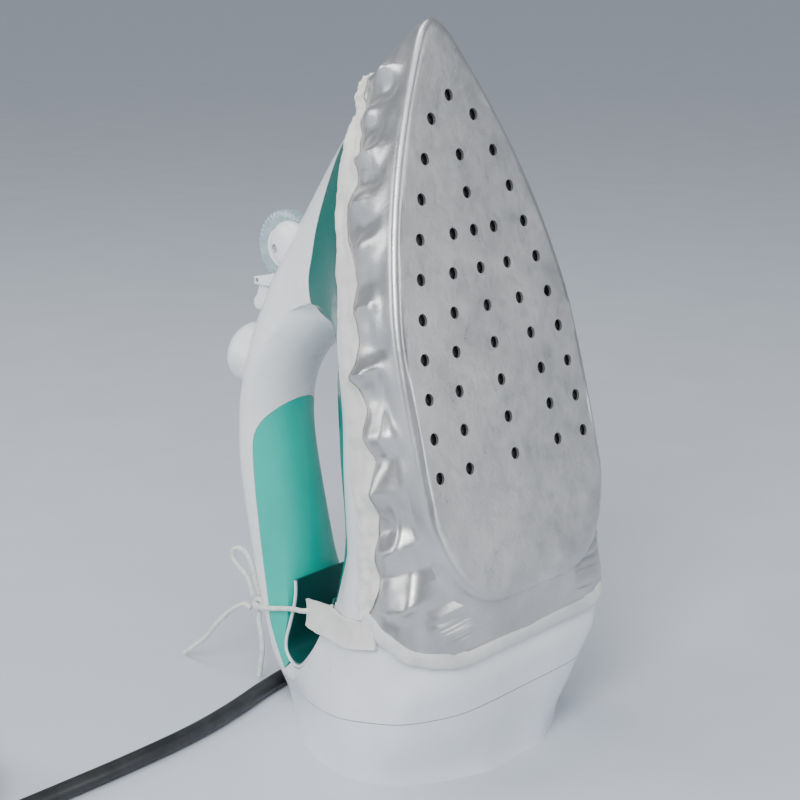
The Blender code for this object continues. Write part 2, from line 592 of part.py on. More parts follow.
EYELETS = [(192.4, [0]), (184.1, [12.6]), (169.5, [0, 20.6]), (154.9, [0, 26.7]), (140.3, [0, 12.3, 31.6]), (125.7, [0, 16.6, 35.3]),
           (111.1, [0, 20.2, 38.6]), (96.6, [0, 23.3, 41.6]), (82.0, [0, 25.6, 43.4]), (67.4, [0, 27.0, 44.7]), (52.8, [0, 28.0, 45.5])]
hole_verts, hole_faces = [], []
for y, xs in EYELETS:
    for x in sorted({v for a in xs for v in (a, -a)}):
        base = len(hole_verts)
        for z in (-3, 1.7):
            hole_verts += [(x + HOLE_D / 2 * math.cos(a), y + HOLE_D / 2 * math.sin(a), z) for a in (i * math.pi / 3 + 0.15 for i in range(6))]
        hole_faces += [[base + i, base + (i + 1) % 6, base + 6 + (i + 1) % 6, base + 6 + i] for i in range(6)]
        hole_faces += [[base + i for i in range(6)][::-1], [base + 6 + i for i in range(6)]]
cut(cover_shell, helper(solid("eyelet_punch", hole_verts, hole_faces)))

band = []
half = [row for row in COVER_ROWS[:13]] + [((40, 8), (4.5, 32, None))]
for sign, rows in ((-1, half[:0:-1]), (1, half)):
    for row in rows:
        y, z, x = row[1]
        z0, z1 = z + 0.5, 39.2 if y < 190 else 36.5
        if x is None:
            out0, out1 = surface_h(y, z0) + 0.9, surface_h(y, z1) + 0.9
            quad = [(out0, y, z0), (out1, y, z1), (out1 - 1.5, y, z1), (out0 - 1.5, y, z0)]
        elif x > 8.0:
            quad = [(7.8, 199.2, z0), (7.2, 199.0, z1), (5.8, 198.4, z1), (6.4, 198.5, z0)]
        elif x == 0.0:
            quad = [(0, 205.6, z0), (0, 205.2, z1), (0, 203.7, z1), (0, 204.1, z0)]
        else:
            quad = [(5.0, 203.8, z0), (4.6, 203.4, z1), (3.6, 202.3, z1), (4.0, 202.6, z0)]
        band.append([(sign * a, b, c) for a, b, c in quad])
hem_casing = rings("hem_casing", band, cream)

bind_path = [(0, -22.2, 10.3), (20, -21.9, 10.4), (38, -20.8, 10.6)] + [(surface_h(y, z) - 0.1, y, z) for y, z in ((-18.6, 13.5), (-16.5, 18.5), (-13.0, 24.5), (-9.6, 30.0))]
bind_path = [(-x, y, z) for x, y, z in bind_path[:0:-1]] + bind_path
rear_binding = tube("rear_binding", open_spline(bind_path, 9), 2.2, cream)

STRING_Y = -3.0
for side, word in ((1, "left"), (-1, "right")):
    strap = []
    for z in (34, 42, 50, 58, 66, 74, 82, 90, 98, 106.5):
        h0, h1 = surface_h(STRING_Y - 5, z), surface_h(STRING_Y + 4.6, z)
        strap.append([(side * (h0 + 1.2), STRING_Y - 5, z), (side * (h0 + 2.4), STRING_Y - 5, z),
                      (side * (h1 + 2.4), STRING_Y + 4.6, z), (side * (h1 + 1.2), STRING_Y + 4.6, z)])
    rings("cover_strap_" + word, strap, cream)


def round_back(z, side, lift=2.4):
    """A point lifted off the handle's section at the string, at height z on one side."""
    h = surface_h(STRING_Y, z)
    return (side * (h + lift * 0.85), STRING_Y, z + lift * 0.25)


KNOT = (9.0, STRING_Y, crest(STRING_Y) + 2.6)
left_run = [round_back(z, 1) for z in (107.6, 116, 125, 134)] + [(16.6, STRING_Y, 144.6), (13.4, STRING_Y, 149.0)]
right_run = [round_back(z, -1) for z in (107.6, 116, 125, 134)] + [(-16.6, STRING_Y, 144.6), (-12.5, STRING_Y, 149.4), (-5.0, STRING_Y, 150.6), (4.6, STRING_Y, 150.9)]
tube("drawstring_left", open_spline(left_run, 5), STRING_D, string)
tube("drawstring_right", open_spline(right_run, 5), STRING_D, string)
turned("bow_knot", [(1.6, -3.2), (3.2, -1.6), (3.5, 0), (3.2, 1.6), (1.6, 3.2)], (KNOT[0], KNOT[1], KNOT[2] + 0.9), X, string, sides=12)
LOOP = [(12.0, 1.2, 151.8), (12.4, 9.3, 152.6), (12.8, 17.7, 158.6), (12.8, 22.3, 157.2), (12.4, 21.6, 151.6), (12.0, 15.5, 148.9), (10.4, 5.0, 149.6), (9.4, 1.4, 150.2)]
tube("bow_loop", open_spline(LOOP, 4.5), STRING_D, string)
END_A = [(12.8, -4.6, 154.0), (13.2, -2.6, 157.6), (14.0, -5.2, 166.0), (14.6, -10.5, 175.5), (15.0, -18.2, 186.0), (15.2, -24.7, 202.0)]
END_B = [(10.2, -7.0, 151.6), (11.0, -11.5, 152.4), (11.6, -17.0, 151.8), (12.0, -26.3, 153.3), (12.0, -35.8, 158.0)]
tube("string_end_long", open_spline(END_A, 5), STRING_D, string)
tube("string_end_short", open_spline(END_B, 5), STRING_D, string)

# ---- mains: terminals, strain relief, cord, plug ----
terminal_block = box("terminal_block", (-14, -28, 44), (14, -18, 56), white_low)
cord_clamp = box("cord_clamp", (-12, -33, 60), (12, -27, 68), grey)

def world_to_iron(p):
    """World millimetres to ironing millimetres."""
    s, c = math.sin(math.radians(LEAN)), math.cos(math.radians(LEAN))
    q = Vector(p) - Vector((0, FRAME_Y, FRAME_Z))
    return Vector((-q.x, q.y * s + q.z * c, q.y * c - q.z * s))


GUARD_START = Vector((18.0, 51.5, 33.0))
GUARD_END = Vector((50.0, 84.0, 20.5))
guard_dir = (GUARD_END - GUARD_START).normalized()
guard_len = (GUARD_END - GUARD_START).length
cord_guard = turned("cord_guard", [(7.6, 0.0), (7.6, 3.0), (6.4, 5.0), (6.0, guard_len * 0.5), (4.6, guard_len), (3.85, guard_len), (3.85, 0.0)],
                    GUARD_START, guard_dir, rubber, sides=16, bore=True, parent=None)
for part in (handle_shell, lower_housing, grip_insert):
    cut(part, helper(turned("guard_bore_" + part.name, [(8.0, -30), (8.0, 40)], world_to_iron(GUARD_START),
                            world_to_iron(GUARD_START + guard_dir) - world_to_iron(GUARD_START), sides=16)))

CORD_ROUTE = [GUARD_END - guard_dir * 34, GUARD_END - guard_dir * 12, GUARD_END + guard_dir * 6, (63.5, 97.7, 15.2), (75.7, 110.1, 8.6), (85.3, 121.1, 5.0), (96.8, 128.7, 3.9), (112.3, 130.0, 3.8), (126.4, 123.5, 3.8),
              (135.3, 110.8, 3.8), (136.6, 95.3, 3.8), (130.1, 81.2, 3.8), (119.8, 73.3, 3.8), (107.1, 70.5, 3.8), (74.0, 70.5, 3.8), (42.0, 70.6, 3.8), (10.0, 70.2, 3.8), (-20.0, 65.8, 3.8), (-48.0, 59.2, 3.8), (-76.0, 54.8, 3.8),
              (-110.0, 53.4, 3.8), (-145.0, 53.6, 3.9), (-179.0, 53.6, 5.4)]
COIL_AT = (-205.0, 97.5)
power_cord = tube("power_cord", open_spline(CORD_ROUTE, 15), CORD_D, cord_black, 2, parent=None)
cord_coil = turned("cord_coil", [(33.0, 5.0), (35.5, 2.0), (44.5, 2.0), (47.0, 5.0), (47.0, 19.5), (44.5, 22.6), (35.5, 22.6), (33.0, 19.5)],
                   (COIL_AT[0], COIL_AT[1], 0), (0, 0, 1), cord_black, sides=32, bore=True, parent=None)
tie_outline = [(32.0, 0.3), (48.0, 0.3), (48.0, 24.0), (32.0, 24.0)]
cord_tie = rings("cord_tie", [[(COIL_AT[0] + d, COIL_AT[1] + r, z) for r, z in tie_outline] for d in (-3.0, 3.0)], cream, parent=None)
cut(cord_tie, helper(rings("tie_opening", [[(COIL_AT[0] + d, COIL_AT[1] + r, z) for r, z in ((32.6, 1.6), (47.4, 1.6), (47.4, 23.0), (32.6, 23.0))] for d in (-9.0, 9.0)], parent=None)))

# The plug lies on the coil, its pins along +Y.
PLUG_AT = (COIL_AT[0] - 35.5, COIL_AT[1] - 3.0, 31.0)
plug_sections = [(0.0, 4.2, 4.2), (9.0, 5.0, 4.8), (13.0, 9.5, 7.0), (30.0, 12.5, 7.4), (36.0, 12.5, 7.0), (37.0, 11.5, 6.2)]
plug_loops = []
for y, a, b in plug_sections:
    plug_loops.append([(PLUG_AT[0] + a * math.copysign(abs(math.cos(t)) ** 0.7, math.cos(t)), PLUG_AT[1] + y,
                        PLUG_AT[2] + b * math.copysign(abs(math.sin(t)) ** 0.7, math.sin(t))) for t in (i * math.pi / 8 for i in range(16))])
cord_plug = rings("cord_plug", plug_loops, rubber, parent=None)
for side, word in ((-1, "left"), (1, "right")):
    turned("plug_pin_" + word, [(2.0, 0.3), (2.0, 18.0), (1.2, 19.0)], (PLUG_AT[0] + 9.5 * side * 0.8, PLUG_AT[1] + 37.0, PLUG_AT[2]), (0, 1, 0), brass, sides=12, parent=None)

# ---- screws that tie the sole to the housing ----
for i, (x, y) in enumerate(((41.0, 30.0), (-41.0, 30.0), (0.0, 143.0))):
    hole = helper(turned("screw_hole_%d" % i, [(2.3, 20), (2.3, 27)], (x, y, 0), (0, 0, 1), sides=10))
    cut(heat_shield, hole)
    turned("sole_screw_%d" % (i + 1), [(1.8, 7.8), (1.8, 24.3), (3.4, 24.3), (3.4, 26.2), (2.6, 27.0)], (x, y, 0), (0, 0, 1), steel, sides=12)
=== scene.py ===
import json
import math

import bmesh
import bpy
import numpy as np
from mathutils import Matrix, Vector, noise

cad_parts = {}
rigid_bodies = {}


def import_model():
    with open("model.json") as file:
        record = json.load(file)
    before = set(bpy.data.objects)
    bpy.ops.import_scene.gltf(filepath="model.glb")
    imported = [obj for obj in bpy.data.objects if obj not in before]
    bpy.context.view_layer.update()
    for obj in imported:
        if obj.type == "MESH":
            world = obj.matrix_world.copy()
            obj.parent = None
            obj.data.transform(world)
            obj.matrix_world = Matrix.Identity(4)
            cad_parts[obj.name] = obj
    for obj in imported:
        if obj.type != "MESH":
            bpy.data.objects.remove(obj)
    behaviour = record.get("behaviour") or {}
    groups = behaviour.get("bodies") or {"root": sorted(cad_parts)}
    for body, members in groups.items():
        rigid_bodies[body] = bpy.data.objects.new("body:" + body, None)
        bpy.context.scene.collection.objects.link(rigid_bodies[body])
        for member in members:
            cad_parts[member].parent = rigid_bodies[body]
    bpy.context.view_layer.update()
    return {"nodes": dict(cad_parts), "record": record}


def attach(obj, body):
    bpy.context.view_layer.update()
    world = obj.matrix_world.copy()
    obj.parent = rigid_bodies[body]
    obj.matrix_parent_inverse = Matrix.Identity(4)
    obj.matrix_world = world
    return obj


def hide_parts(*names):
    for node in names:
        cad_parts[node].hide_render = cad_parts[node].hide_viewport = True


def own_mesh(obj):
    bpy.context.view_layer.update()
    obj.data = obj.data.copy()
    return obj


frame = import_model()
MM = 0.001

# ---------------------------------------------------------------- camera, floor, light
cam_data = bpy.data.cameras.new("camera")
cam_data.lens = 81.0
cam_data.sensor_width = 36.0
cam_data.clip_start = 0.01
cam_data.dof.use_dof = False
camera = bpy.data.objects.new("camera", cam_data)
bpy.context.scene.collection.objects.link(camera)
right, down, forward = Vector((0.6541, -0.7564, 0.0)), Vector((-0.1864, -0.1612, -0.9692)), Vector((0.7330, 0.6340, -0.2464))
turn = Matrix((right, -down, -forward)).transposed().to_4x4()
turn.translation = Vector((-0.5357943, -0.4559155, 0.3182775))
camera.matrix_world = turn
bpy.context.scene.camera = camera


def area_light(name, at, aim, size, power, colour=(1, 1, 1)):
    data = bpy.data.lights.new(name, "AREA")
    data.shape = "RECTANGLE"
    data.size, data.size_y = size
    data.energy = power
    data.color = colour
    lamp = bpy.data.objects.new(name, data)
    lamp.location = at
    lamp.rotation_euler = (Vector(aim) - Vector(at)).to_track_quat("-Z", "Y").to_euler()
    bpy.context.scene.collection.objects.link(lamp)


area_light("key", (-1.15, -0.55, 0.95), (0, 0, 0.14), (0.55, 0.75), 17)
area_light("fill", (0.75, -1.35, 0.55), (0, 0, 0.14), (0.5, 0.9), 5)
area_light("top", (-0.2, 0.35, 1.5), (0, 0, 0.1), (0.9, 0.7), 8)
area_light("back", (-1.0, 0.9, 0.5), (0, 0, 0.16), (0.5, 0.8), 6)
sun_data = bpy.data.lights.new("soft_sun", "SUN")
sun_data.energy = 0.9
sun_data.angle = math.radians(50)
sun = bpy.data.objects.new("soft_sun", sun_data)
sun.rotation_euler = (math.radians(28), math.radians(-24), 0)
bpy.context.scene.collection.objects.link(sun)
world = bpy.data.worlds.new("studio")
bpy.context.scene.world = world
world.use_nodes = True
world.node_tree.nodes["Background"].inputs[0].default_value = (0.72, 0.80, 0.92, 1)
world.node_tree.nodes["Background"].inputs[1].default_value = 0.30

# ---------------------------------------------------------------- materials


class Nodes:
    """A Principled material and short ways to wire its nodes; lengths are in millimetres."""

    def __init__(self, name, colour, roughness, metallic=0.0, **fixed):
        self.mat = bpy.data.materials.new(name)
        self.mat.use_nodes = True
        self.mat.diffuse_color = (*colour, 1)
        self.tree = self.mat.node_tree
        self.bsdf = self.tree.nodes["Principled BSDF"]
        self.set(self.bsdf, **{"Base Color": (*colour, 1), "Roughness": roughness, "Metallic": metallic})
        for key, value in fixed.items():
            self.bsdf.inputs[key.replace("_", " ")].default_value = value
        coords = self.tree.nodes.new("ShaderNodeTexCoord")
        self.coords = coords.outputs["Object"]
        self.height = None

    def set(self, node, **values):
        for key, value in values.items():
            node.inputs[key].default_value = value

    def link(self, a, b):
        self.tree.links.new(a, b)

    def stretch(self, scale, turn=(0, 0, 0)):
        node = self.tree.nodes.new("ShaderNodeMapping")
        node.inputs["Scale"].default_value = scale
        node.inputs["Rotation"].default_value = turn
        self.link(self.coords, node.inputs["Vector"])
        return node.outputs["Vector"]

    def noise(self, size_mm, detail=3.0, roughness=0.5, vector=None, distortion=0.0):
        node = self.tree.nodes.new("ShaderNodeTexNoise")
        self.set(node, Scale=1000.0 / size_mm, Detail=detail, Roughness=roughness, Distortion=distortion)
        self.link(vector or self.coords, node.inputs["Vector"])
        return node.outputs["Fac"]

    def wave(self, size_mm, axis="X", distortion=0.0, vector=None):
        node = self.tree.nodes.new("ShaderNodeTexWave")
        node.bands_direction = axis
        self.set(node, Scale=1000.0 / size_mm / 3.1416 * 0.5, Distortion=distortion)
        node.inputs["Detail"].default_value = 1.0
        self.link(vector or self.coords, node.inputs["Vector"])
        return node.outputs["Fac"]

    def voronoi(self, size_mm, vector=None):
        node = self.tree.nodes.new("ShaderNodeTexVoronoi")
        self.set(node, Scale=1000.0 / size_mm)
        self.link(vector or self.coords, node.inputs["Vector"])
        return node.outputs["Distance"]

    def band(self, value, low, high, to_low, to_high):
        node = self.tree.nodes.new("ShaderNodeMapRange")
        for i, v in enumerate((low, high, to_low, to_high), 1):
            node.inputs[i].default_value = v
        self.link(value, node.inputs[0])
        return node.outputs[0]

    def maths(self, how, a, b):
        node = self.tree.nodes.new("ShaderNodeMath")
        node.operation = how
        for slot, v in zip(node.inputs, (a, b)):
            if isinstance(v, (int, float)):
                slot.default_value = v
            else:
                self.link(v, slot)
        return node.outputs[0]

    def tint(self, fac, low, high):
        """Base colour that runs from low to high with fac."""
        node = self.tree.nodes.new("ShaderNodeMix")
        node.data_type = "RGBA"
        self.link(fac, node.inputs["Factor"])
        node.inputs[6].default_value = (*low, 1)
        node.inputs[7].default_value = (*high, 1)
        self.link(node.outputs[2], self.bsdf.inputs["Base Color"])
        return node

    def rough(self, fac):
        self.link(fac, self.bsdf.inputs["Roughness"])

    def bump(self, value, depth_mm, strength=1.0):
        node = self.tree.nodes.new("ShaderNodeBump")
        self.set(node, Strength=strength, Distance=depth_mm * MM)
        self.link(value, node.inputs["Height"])
        if self.height is not None:
            self.link(self.height, node.inputs["Normal"])
        self.height = node.outputs["Normal"]
        self.link(self.height, self.bsdf.inputs["Normal"])


def shade(c, k):
    return tuple(min(1.0, v * k) for v in c)


def moulded(name, colour, roughness, grain=0.35, depth=0.02, scuff=0.06, coat=0.0, **fixed):
    """Moulded plastic: faint cloudiness, a fine skin, and rubbed patches where it shines differently."""
    m = Nodes(name, colour, roughness, Coat_Weight=coat, Coat_Roughness=0.12, **fixed)
    cloud = m.noise(38, 3, 0.55)
    m.tint(m.band(cloud, 0.3, 0.7, 0, 1), shade(colour, 0.93), shade(colour, 1.05))
    rubbed = m.noise(9, 5, 0.7)
    m.rough(m.band(rubbed, 0.35, 0.72, roughness - scuff, roughness + scuff))
    m.bump(m.noise(grain, 2, 0.5), depth)
    m.bump(cloud, 0.10, 0.5)
    return m


def metal(name, colour, roughness, axis="X"):
    m = Nodes(name, colour, roughness, 1.0)
    lines = m.noise(0.5, 2, 0.6, m.stretch((0.05, 1, 1) if axis == "X" else (1, 0.05, 1)))
    m.tint(m.band(m.noise(14, 4, 0.6), 0.3, 0.7, 0, 1), shade(colour, 0.82), shade(colour, 1.08))
    m.rough(m.band(lines, 0.3, 0.7, roughness - 0.07, roughness + 0.12))
    m.bump(lines, 0.02)
    return m


def weave(name, colour, thread, roughness=0.85, depth=0.12, **fixed):
    """Plain woven tape: warp and weft ridges, uneven dye and a soft nap."""
    m = Nodes(name, colour, roughness, Sheen_Weight=0.25, Sheen_Roughness=0.5, **fixed)
    soft = m.noise(11, 4, 0.6)
    fine = m.noise(thread * 1.3, 2, 0.6)
    m.tint(m.band(m.maths("ADD", m.maths("MULTIPLY", soft, 0.65), m.maths("MULTIPLY", fine, 0.35)), 0.35, 0.65, 0, 1), shade(colour, 0.84), shade(colour, 1.05))
    warp = m.wave(thread, "Z", 0.6)
    weft = m.wave(thread, "DIAGONAL", 0.6)
    m.bump(m.maths("MAXIMUM", warp, weft), depth * 0.5, 0.6)
    m.bump(fine, depth, 0.7)
    m.rough(m.band(soft, 0.3, 0.7, roughness - 0.08, min(1.0, roughness + 0.06)))
    return m


WHITE = (0.86, 0.88, 0.90)
white_top = moulded("white_moulding_look", WHITE, 0.30, 0.30, 0.012, 0.06, 0.15)
white_low = moulded("white_lower_moulding_look", (0.84, 0.86, 0.89), 0.33, 0.30, 0.014, 0.06, 0.1)
white_cap = moulded("white_cap_moulding_look", (0.80, 0.84, 0.90), 0.35, 0.30, 0.014, 0.06, 0.1)
teal_grip = moulded("teal_soft_grip_look", (0.0, 0.50, 0.40), 0.42, 0.55, 0.05, 0.07)
teal_tank = moulded("teal_tank_look", (0.0, 0.125, 0.10), 0.20, 0.30, 0.006, 0.05, 0.35)
# bowl lining: its own teal, darkened with painted shade for the shadowed inside of the hand opening
teal_liner_painted_shade = moulded("teal_liner_look", (0.0, 0.085, 0.08), 0.40, 0.45, 0.04, 0.06)
grey_part = moulded("grey_moulding_look", (0.22, 0.23, 0.25), 0.5, 0.4, 0.03)
rubber = moulded("black_rubber_look", (0.014, 0.014, 0.015), 0.58, 0.5, 0.05, 0.1)
cast = metal("cast_aluminium_look", (0.55, 0.56, 0.57), 0.42)
steel = metal("steel_look", (0.52, 0.52, 0.54), 0.30)
brass = metal("brass_look", (0.75, 0.56, 0.25), 0.26, "Y")
cream = weave("cream_tape_look", (0.80, 0.785, 0.74), 0.55)
binding_look = weave("grey_white_binding_look", (0.70, 0.71, 0.71), 0.5, 0.8)

# near-black on the sole, seen through the eyelets: painted shade, so the deep holes read as shadow
sole_painted_shade = moulded("dark_sole_coating_look", (0.010, 0.010, 0.011), 0.55, 0.4, 0.03)

# clear blue-grey thumbwheel
dial_look = Nodes("clear_blue_grey_look", (0.50, 0.66, 0.70), 0.22, IOR=1.46, Transmission_Weight=0.35, Subsurface_Weight=0.15, Coat_Weight=0.4)
dial_cloud = dial_look.noise(6, 3)
dial_look.tint(dial_look.band(dial_cloud, 0.3, 0.7, 0, 1), (0.40, 0.56, 0.61), (0.60, 0.75, 0.78))
dial_look.rough(dial_look.band(dial_look.noise(2.0, 4, 0.7), 0.3, 0.7, 0.16, 0.32))
dial_look.bump(dial_look.noise(0.8, 2), 0.02)

# aluminised cloth: satin metal film over a fine weave, crazed where it creases
silver = Nodes("silver_cover_look", (0.60, 0.60, 0.60), 0.33, 0.86, Sheen_Weight=0.08, Coat_Weight=0.10, Coat_Roughness=0.3)
film = silver.noise(26, 4, 0.55)
silver.tint(silver.band(film, 0.3, 0.7, 0, 1), (0.50, 0.50, 0.505), (0.69, 0.685, 0.68))
silver.rough(silver.band(silver.noise(7, 5, 0.65), 0.3, 0.7, 0.27, 0.40))
crinkle = silver.noise(5.5, 4, 0.6, distortion=0.6)
silver.bump(crinkle, 0.22, 0.55)
silver.bump(silver.maths("MAXIMUM", silver.wave(0.42, "Z", 0.3), silver.wave(0.42, "X", 0.3)), 0.02, 0.6)

# soft white string: two plies wound round each other
string_look = Nodes("white_string_look", (0.82, 0.82, 0.80), 0.85, Sheen_Weight=0.3)
ply = string_look.wave(1.5, "DIAGONAL", 0.4)
string_look.tint(string_look.band(string_look.noise(1.2, 3), 0.3, 0.7, 0, 1), (0.66, 0.66, 0.64), (0.86, 0.86, 0.84))
string_look.bump(ply, 0.35, 0.9)
string_look.bump(string_look.noise(0.35, 2), 0.12, 0.8)

# mains flex: smooth black sheath, lightly dusty
flex = Nodes("black_cord_look", (0.012, 0.012, 0.013), 0.42, Coat_Weight=0.1)
flex.tint(flex.band(flex.noise(13, 4, 0.6), 0.35, 0.75, 0, 1), (0.008, 0.008, 0.009), (0.028, 0.028, 0.030))
flex.rough(flex.band(flex.noise(4, 4, 0.7), 0.3, 0.7, 0.34, 0.52))
flex.bump(flex.noise(1.6, 3, 0.6), 0.03)

LOOKS = {
    "white_moulding": white_top, "white_lower_moulding": white_low, "white_cap_moulding": white_cap, "teal_soft_grip": teal_grip, "teal_tank": teal_tank,
    "teal_liner": teal_liner_painted_shade, "silver_cover": silver, "cream_tape": cream, "white_string": string_look, "cast_aluminium": cast, "steel": steel, "brass": brass,
    "clear_blue_grey": dial_look, "black_rubber": rubber, "black_cord": flex, "grey_moulding": grey_part,
}
slot_of = {row["node"]: row["material_slot"] for row in frame["record"]["subparts"]}
for node_name, node in frame["nodes"].items():
    # the soleplate takes the near-black painted shade instead of its slot's look
    look = sole_painted_shade if node_name == "soleplate" else LOOKS[slot_of[node_name]]
    node.data.materials.clear()
    node.data.materials.append(look.mat)

# ---------------------------------------------------------------- ironing axes and shape tables, mm
LEAN = 14.3246
S, C = math.sin(math.radians(LEAN)), math.cos(math.radians(LEAN))
FRAME_Y, FRAME_Z, HEEL_CUT = -64.5, 75.66, 78.1
SEAM = (-41.6, 0.067)
WALL = 2.4
T = math.tan(math.radians(LEAN))


def W(p):
    """Ironing millimetres to world metres."""
    x, y, z = p
    return Vector((-x, FRAME_Y + S * y + C * z, FRAME_Z + C * y - S * z)) * MM


def to_iron(p):
    """World millimetres to ironing millimetres."""
    x, y, z = p[0], p[1] - FRAME_Y, p[2] - FRAME_Z
    return Vector((-x, y * S + z * C, y * C - z * S))


BODY = {
    -112: (30.5, [(25, 36), (43, 45.5), (53.5, 57), (56.5, 71), (49, 96), (32, 117), (21, 125)], 129),
    -90: (30, [(26, 35), (44, 44.5), (54, 56), (57, 70.5), (50, 96), (33, 119), (21, 127.5)], 131),
    -70: (29, [(27, 33), (45, 42.5), (54.5, 54.5), (57.5, 70), (51, 96), (33, 120), (21, 130)], 133.5),
    -45: (19, [(38, 22), (53, 34), (58, 49), (57, 70), (46, 97), (30, 119), (20, 130.5)], 136),
    -20: (10, [(50, 12), (57.5, 22), (58, 38), (55, 60), (40, 92), (23, 121), (17, 140)], 147),
    5: (8, [(53, 10), (57, 20), (56.5, 36), (51, 56), (31, 83), (18.5, 114), (16.5, 140)], 147.5),
    30: (8, [(53, 10), (56, 20), (54.5, 34), (44, 55), (25.5, 75), (17.5, 114), (16.5, 139)], 146.5),
    55: (8, [(52, 10), (55, 19), (53, 31), (42, 52), (24.5, 72), (17, 112), (16.5, 137)], 145),
    80: (8, [(49.5, 10), (52.5, 18), (50, 29), (39, 49), (24, 67), (18, 106), (17, 131)], 139),
    105: (8, [(45.5, 10), (48.5, 18), (46.5, 28), (38, 46), (25, 62), (20, 94), (17.5, 119)], 127.5),
    128: (8, [(40, 10), (43, 17.5), (41.5, 28), (35, 42), (27, 58), (21.5, 82), (17, 102)], 111),
    148: (8, [(33.5, 10), (36.5, 17), (35.5, 28), (31, 41), (26, 54), (20.5, 70), (15, 84)], 93),
    165: (8, [(26.5, 10), (29.5, 17), (29, 27), (26.5, 37), (23, 47), (18, 58), (12.5, 68)], 75.5),
    180: (8, [(19, 10), (22, 16), (22, 25), (20.5, 33), (18, 41), (14, 48.5), (9, 55)], 60),
    192: (8, [(11, 10), (13.5, 15), (14, 22), (13, 29), (11, 35), (8.5, 40), (5, 44)], 47),
    200: (9, [(3, 10.5), (4.5, 14), (5, 20), (5, 25), (4.2, 30), (3, 34), (1.5, 37)], 39),
}
STATIONS = sorted(BODY)
HAND = [(110, 72), (106, 86), (99, 98), (90, 106), (79, 111), (66, 113.5), (50, 114.5), (34, 115),
        (16, 117), (2, 120), (-9, 125), (-17, 129), (-23, 128.5), (-27, 122), (-26.5, 112),
        (-22, 101), (-15, 91), (-6, 84.5), (6, 80.5), (35, 77), (68, 73), (92, 68.5), (104, 66)]
SKIRT_TOP = [(203, 30), (192, 36), (170, 38), (148, 39), (126, 43), (103, 50), (68, 58), (48, 62), (24, 68), (4, 75)]
TANK_TOP = [(203, 44), (192, 46), (176, 51), (159, 58), (144, 64), (133, 69), (120, 70), (112, 66)]
GRIP_TOP = [(91, 84), (89.5, 97), (82, 114), (74, 124), (62, 129), (37, 133), (0, 137), (-10, 138), (-22, 134.6), (-29, 131)]


def smooth_step(x):
    x = min(max(x, 0.0), 1.0)
    return x * x * (3 - 2 * x)


def monotone(xs, ys, x):
    xs = np.asarray(xs, float)
    ys = np.asarray(ys, float)
    h = np.diff(xs)
    d = (np.diff(ys, axis=0).T / h).T
    m = np.zeros_like(ys)
    for i in range(1, len(xs) - 1):
        a, b = d[i - 1], d[i]
        w1, w2 = 2 * h[i] + h[i - 1], h[i] + 2 * h[i - 1]
        safe_a = np.where(a * b > 0, a, 1.0)
        safe_b = np.where(a * b > 0, b, 1.0)
        m[i] = np.where(a * b > 0, (w1 + w2) / (w1 / safe_a + w2 / safe_b), 0)
    m[0], m[-1] = d[0], d[-1]
    i = int(np.clip(np.searchsorted(xs, x) - 1, 0, len(xs) - 2))
    t = (x - xs[i]) / h[i]
    return ((2 * t**3 - 3 * t**2 + 1) * ys[i] + (t**3 - 2 * t**2 + t) * h[i] * m[i]
            + (3 * t**2 - 2 * t**3) * ys[i + 1] + (t**3 - t**2) * h[i] * m[i + 1])


def closed_spline(points, n):
    ring = np.asarray(points, float)
    k = len(ring)
    out = []
    for i in range(k):
        p0, p1, p2, p3 = ring[i - 1], ring[i], ring[(i + 1) % k], ring[(i + 2) % k]
        for j in range(n):
            t = j / n
            out.append(0.5 * (2 * p1 + (p2 - p0) * t + (2 * p0 - 5 * p1 + 4 * p2 - p3) * t * t + (3 * p1 - p0 - 3 * p2 + p3) * t**3))
    return np.array(out)


def open_spline(points, spacing):
    p = [np.asarray(q, float) for q in points]
    p = [2 * p[0] - p[1]] + p + [2 * p[-1] - p[-2]]
    fine = []
    for i in range(1, len(p) - 2):
        p0, p1, p2, p3 = p[i - 1], p[i], p[i + 1], p[i + 2]
        for j in range(24):
            t = j / 24
            fine.append(0.5 * (2 * p1 + (p2 - p0) * t + (2 * p0 - 5 * p1 + 4 * p2 - p3) * t * t + (3 * p1 - p0 - 3 * p2 + p3) * t**3))
    fine.append(p[-2])
    fine = np.array(fine)
    run = np.concatenate([[0], np.cumsum(np.linalg.norm(np.diff(fine, axis=0), axis=1))])
    count = max(2, int(round(run[-1] / spacing)) + 1)
    at = np.linspace(0, run[-1], count)
    return np.column_stack([np.interp(at, run, fine[:, k]) for k in range(fine.shape[1])])


def offset(ring, amounts):
    tangent = np.roll(ring, -1, axis=0) - np.roll(ring, 1, axis=0)
    tangent /= np.maximum(np.linalg.norm(tangent, axis=1), 1e-9)[:, None]
    inward = np.column_stack([-tangent[:, 1], tangent[:, 0]])
    return ring + inward * np.asarray(amounts, float).reshape(-1, 1)


BODY_ROWS = np.array([
    np.array([(0, b), (pts[0][0] * 0.6, b)] + pts + [(pts[-1][0] * 0.62, pts[-1][1] + (top - pts[-1][1]) * 0.72), (0, top)]).ravel()
    for b, pts, top in (BODY[y] for y in STATIONS)])


def section(y, n=6):
    row = monotone(STATIONS, BODY_ROWS, y).reshape(-1, 2)
    return closed_spline(np.vstack([row, row[1:-1][::-1] * [-1, 1]]), n)


_sections = {}


def surface_h(y, z):
    key = round(y * 4) / 4
    if key not in _sections:
        s = section(key, 6)
        _sections[key] = s[: len(s) // 2 + 1]
    half = _sections[key]
    best = 0.0
    for a, b in zip(half[:-1], half[1:]):
        if (a[1] - z) * (b[1] - z) <= 0 and a[1] != b[1]:
            best = max(best, a[0] + (b[0] - a[0]) * (z - a[1]) / (b[1] - a[1]))
    return float(best)


def crest(y):
    return float(section(y, 6)[:, 1].max())


# ---------------------------------------------------------------- mesh helpers (local points in, world mesh out)


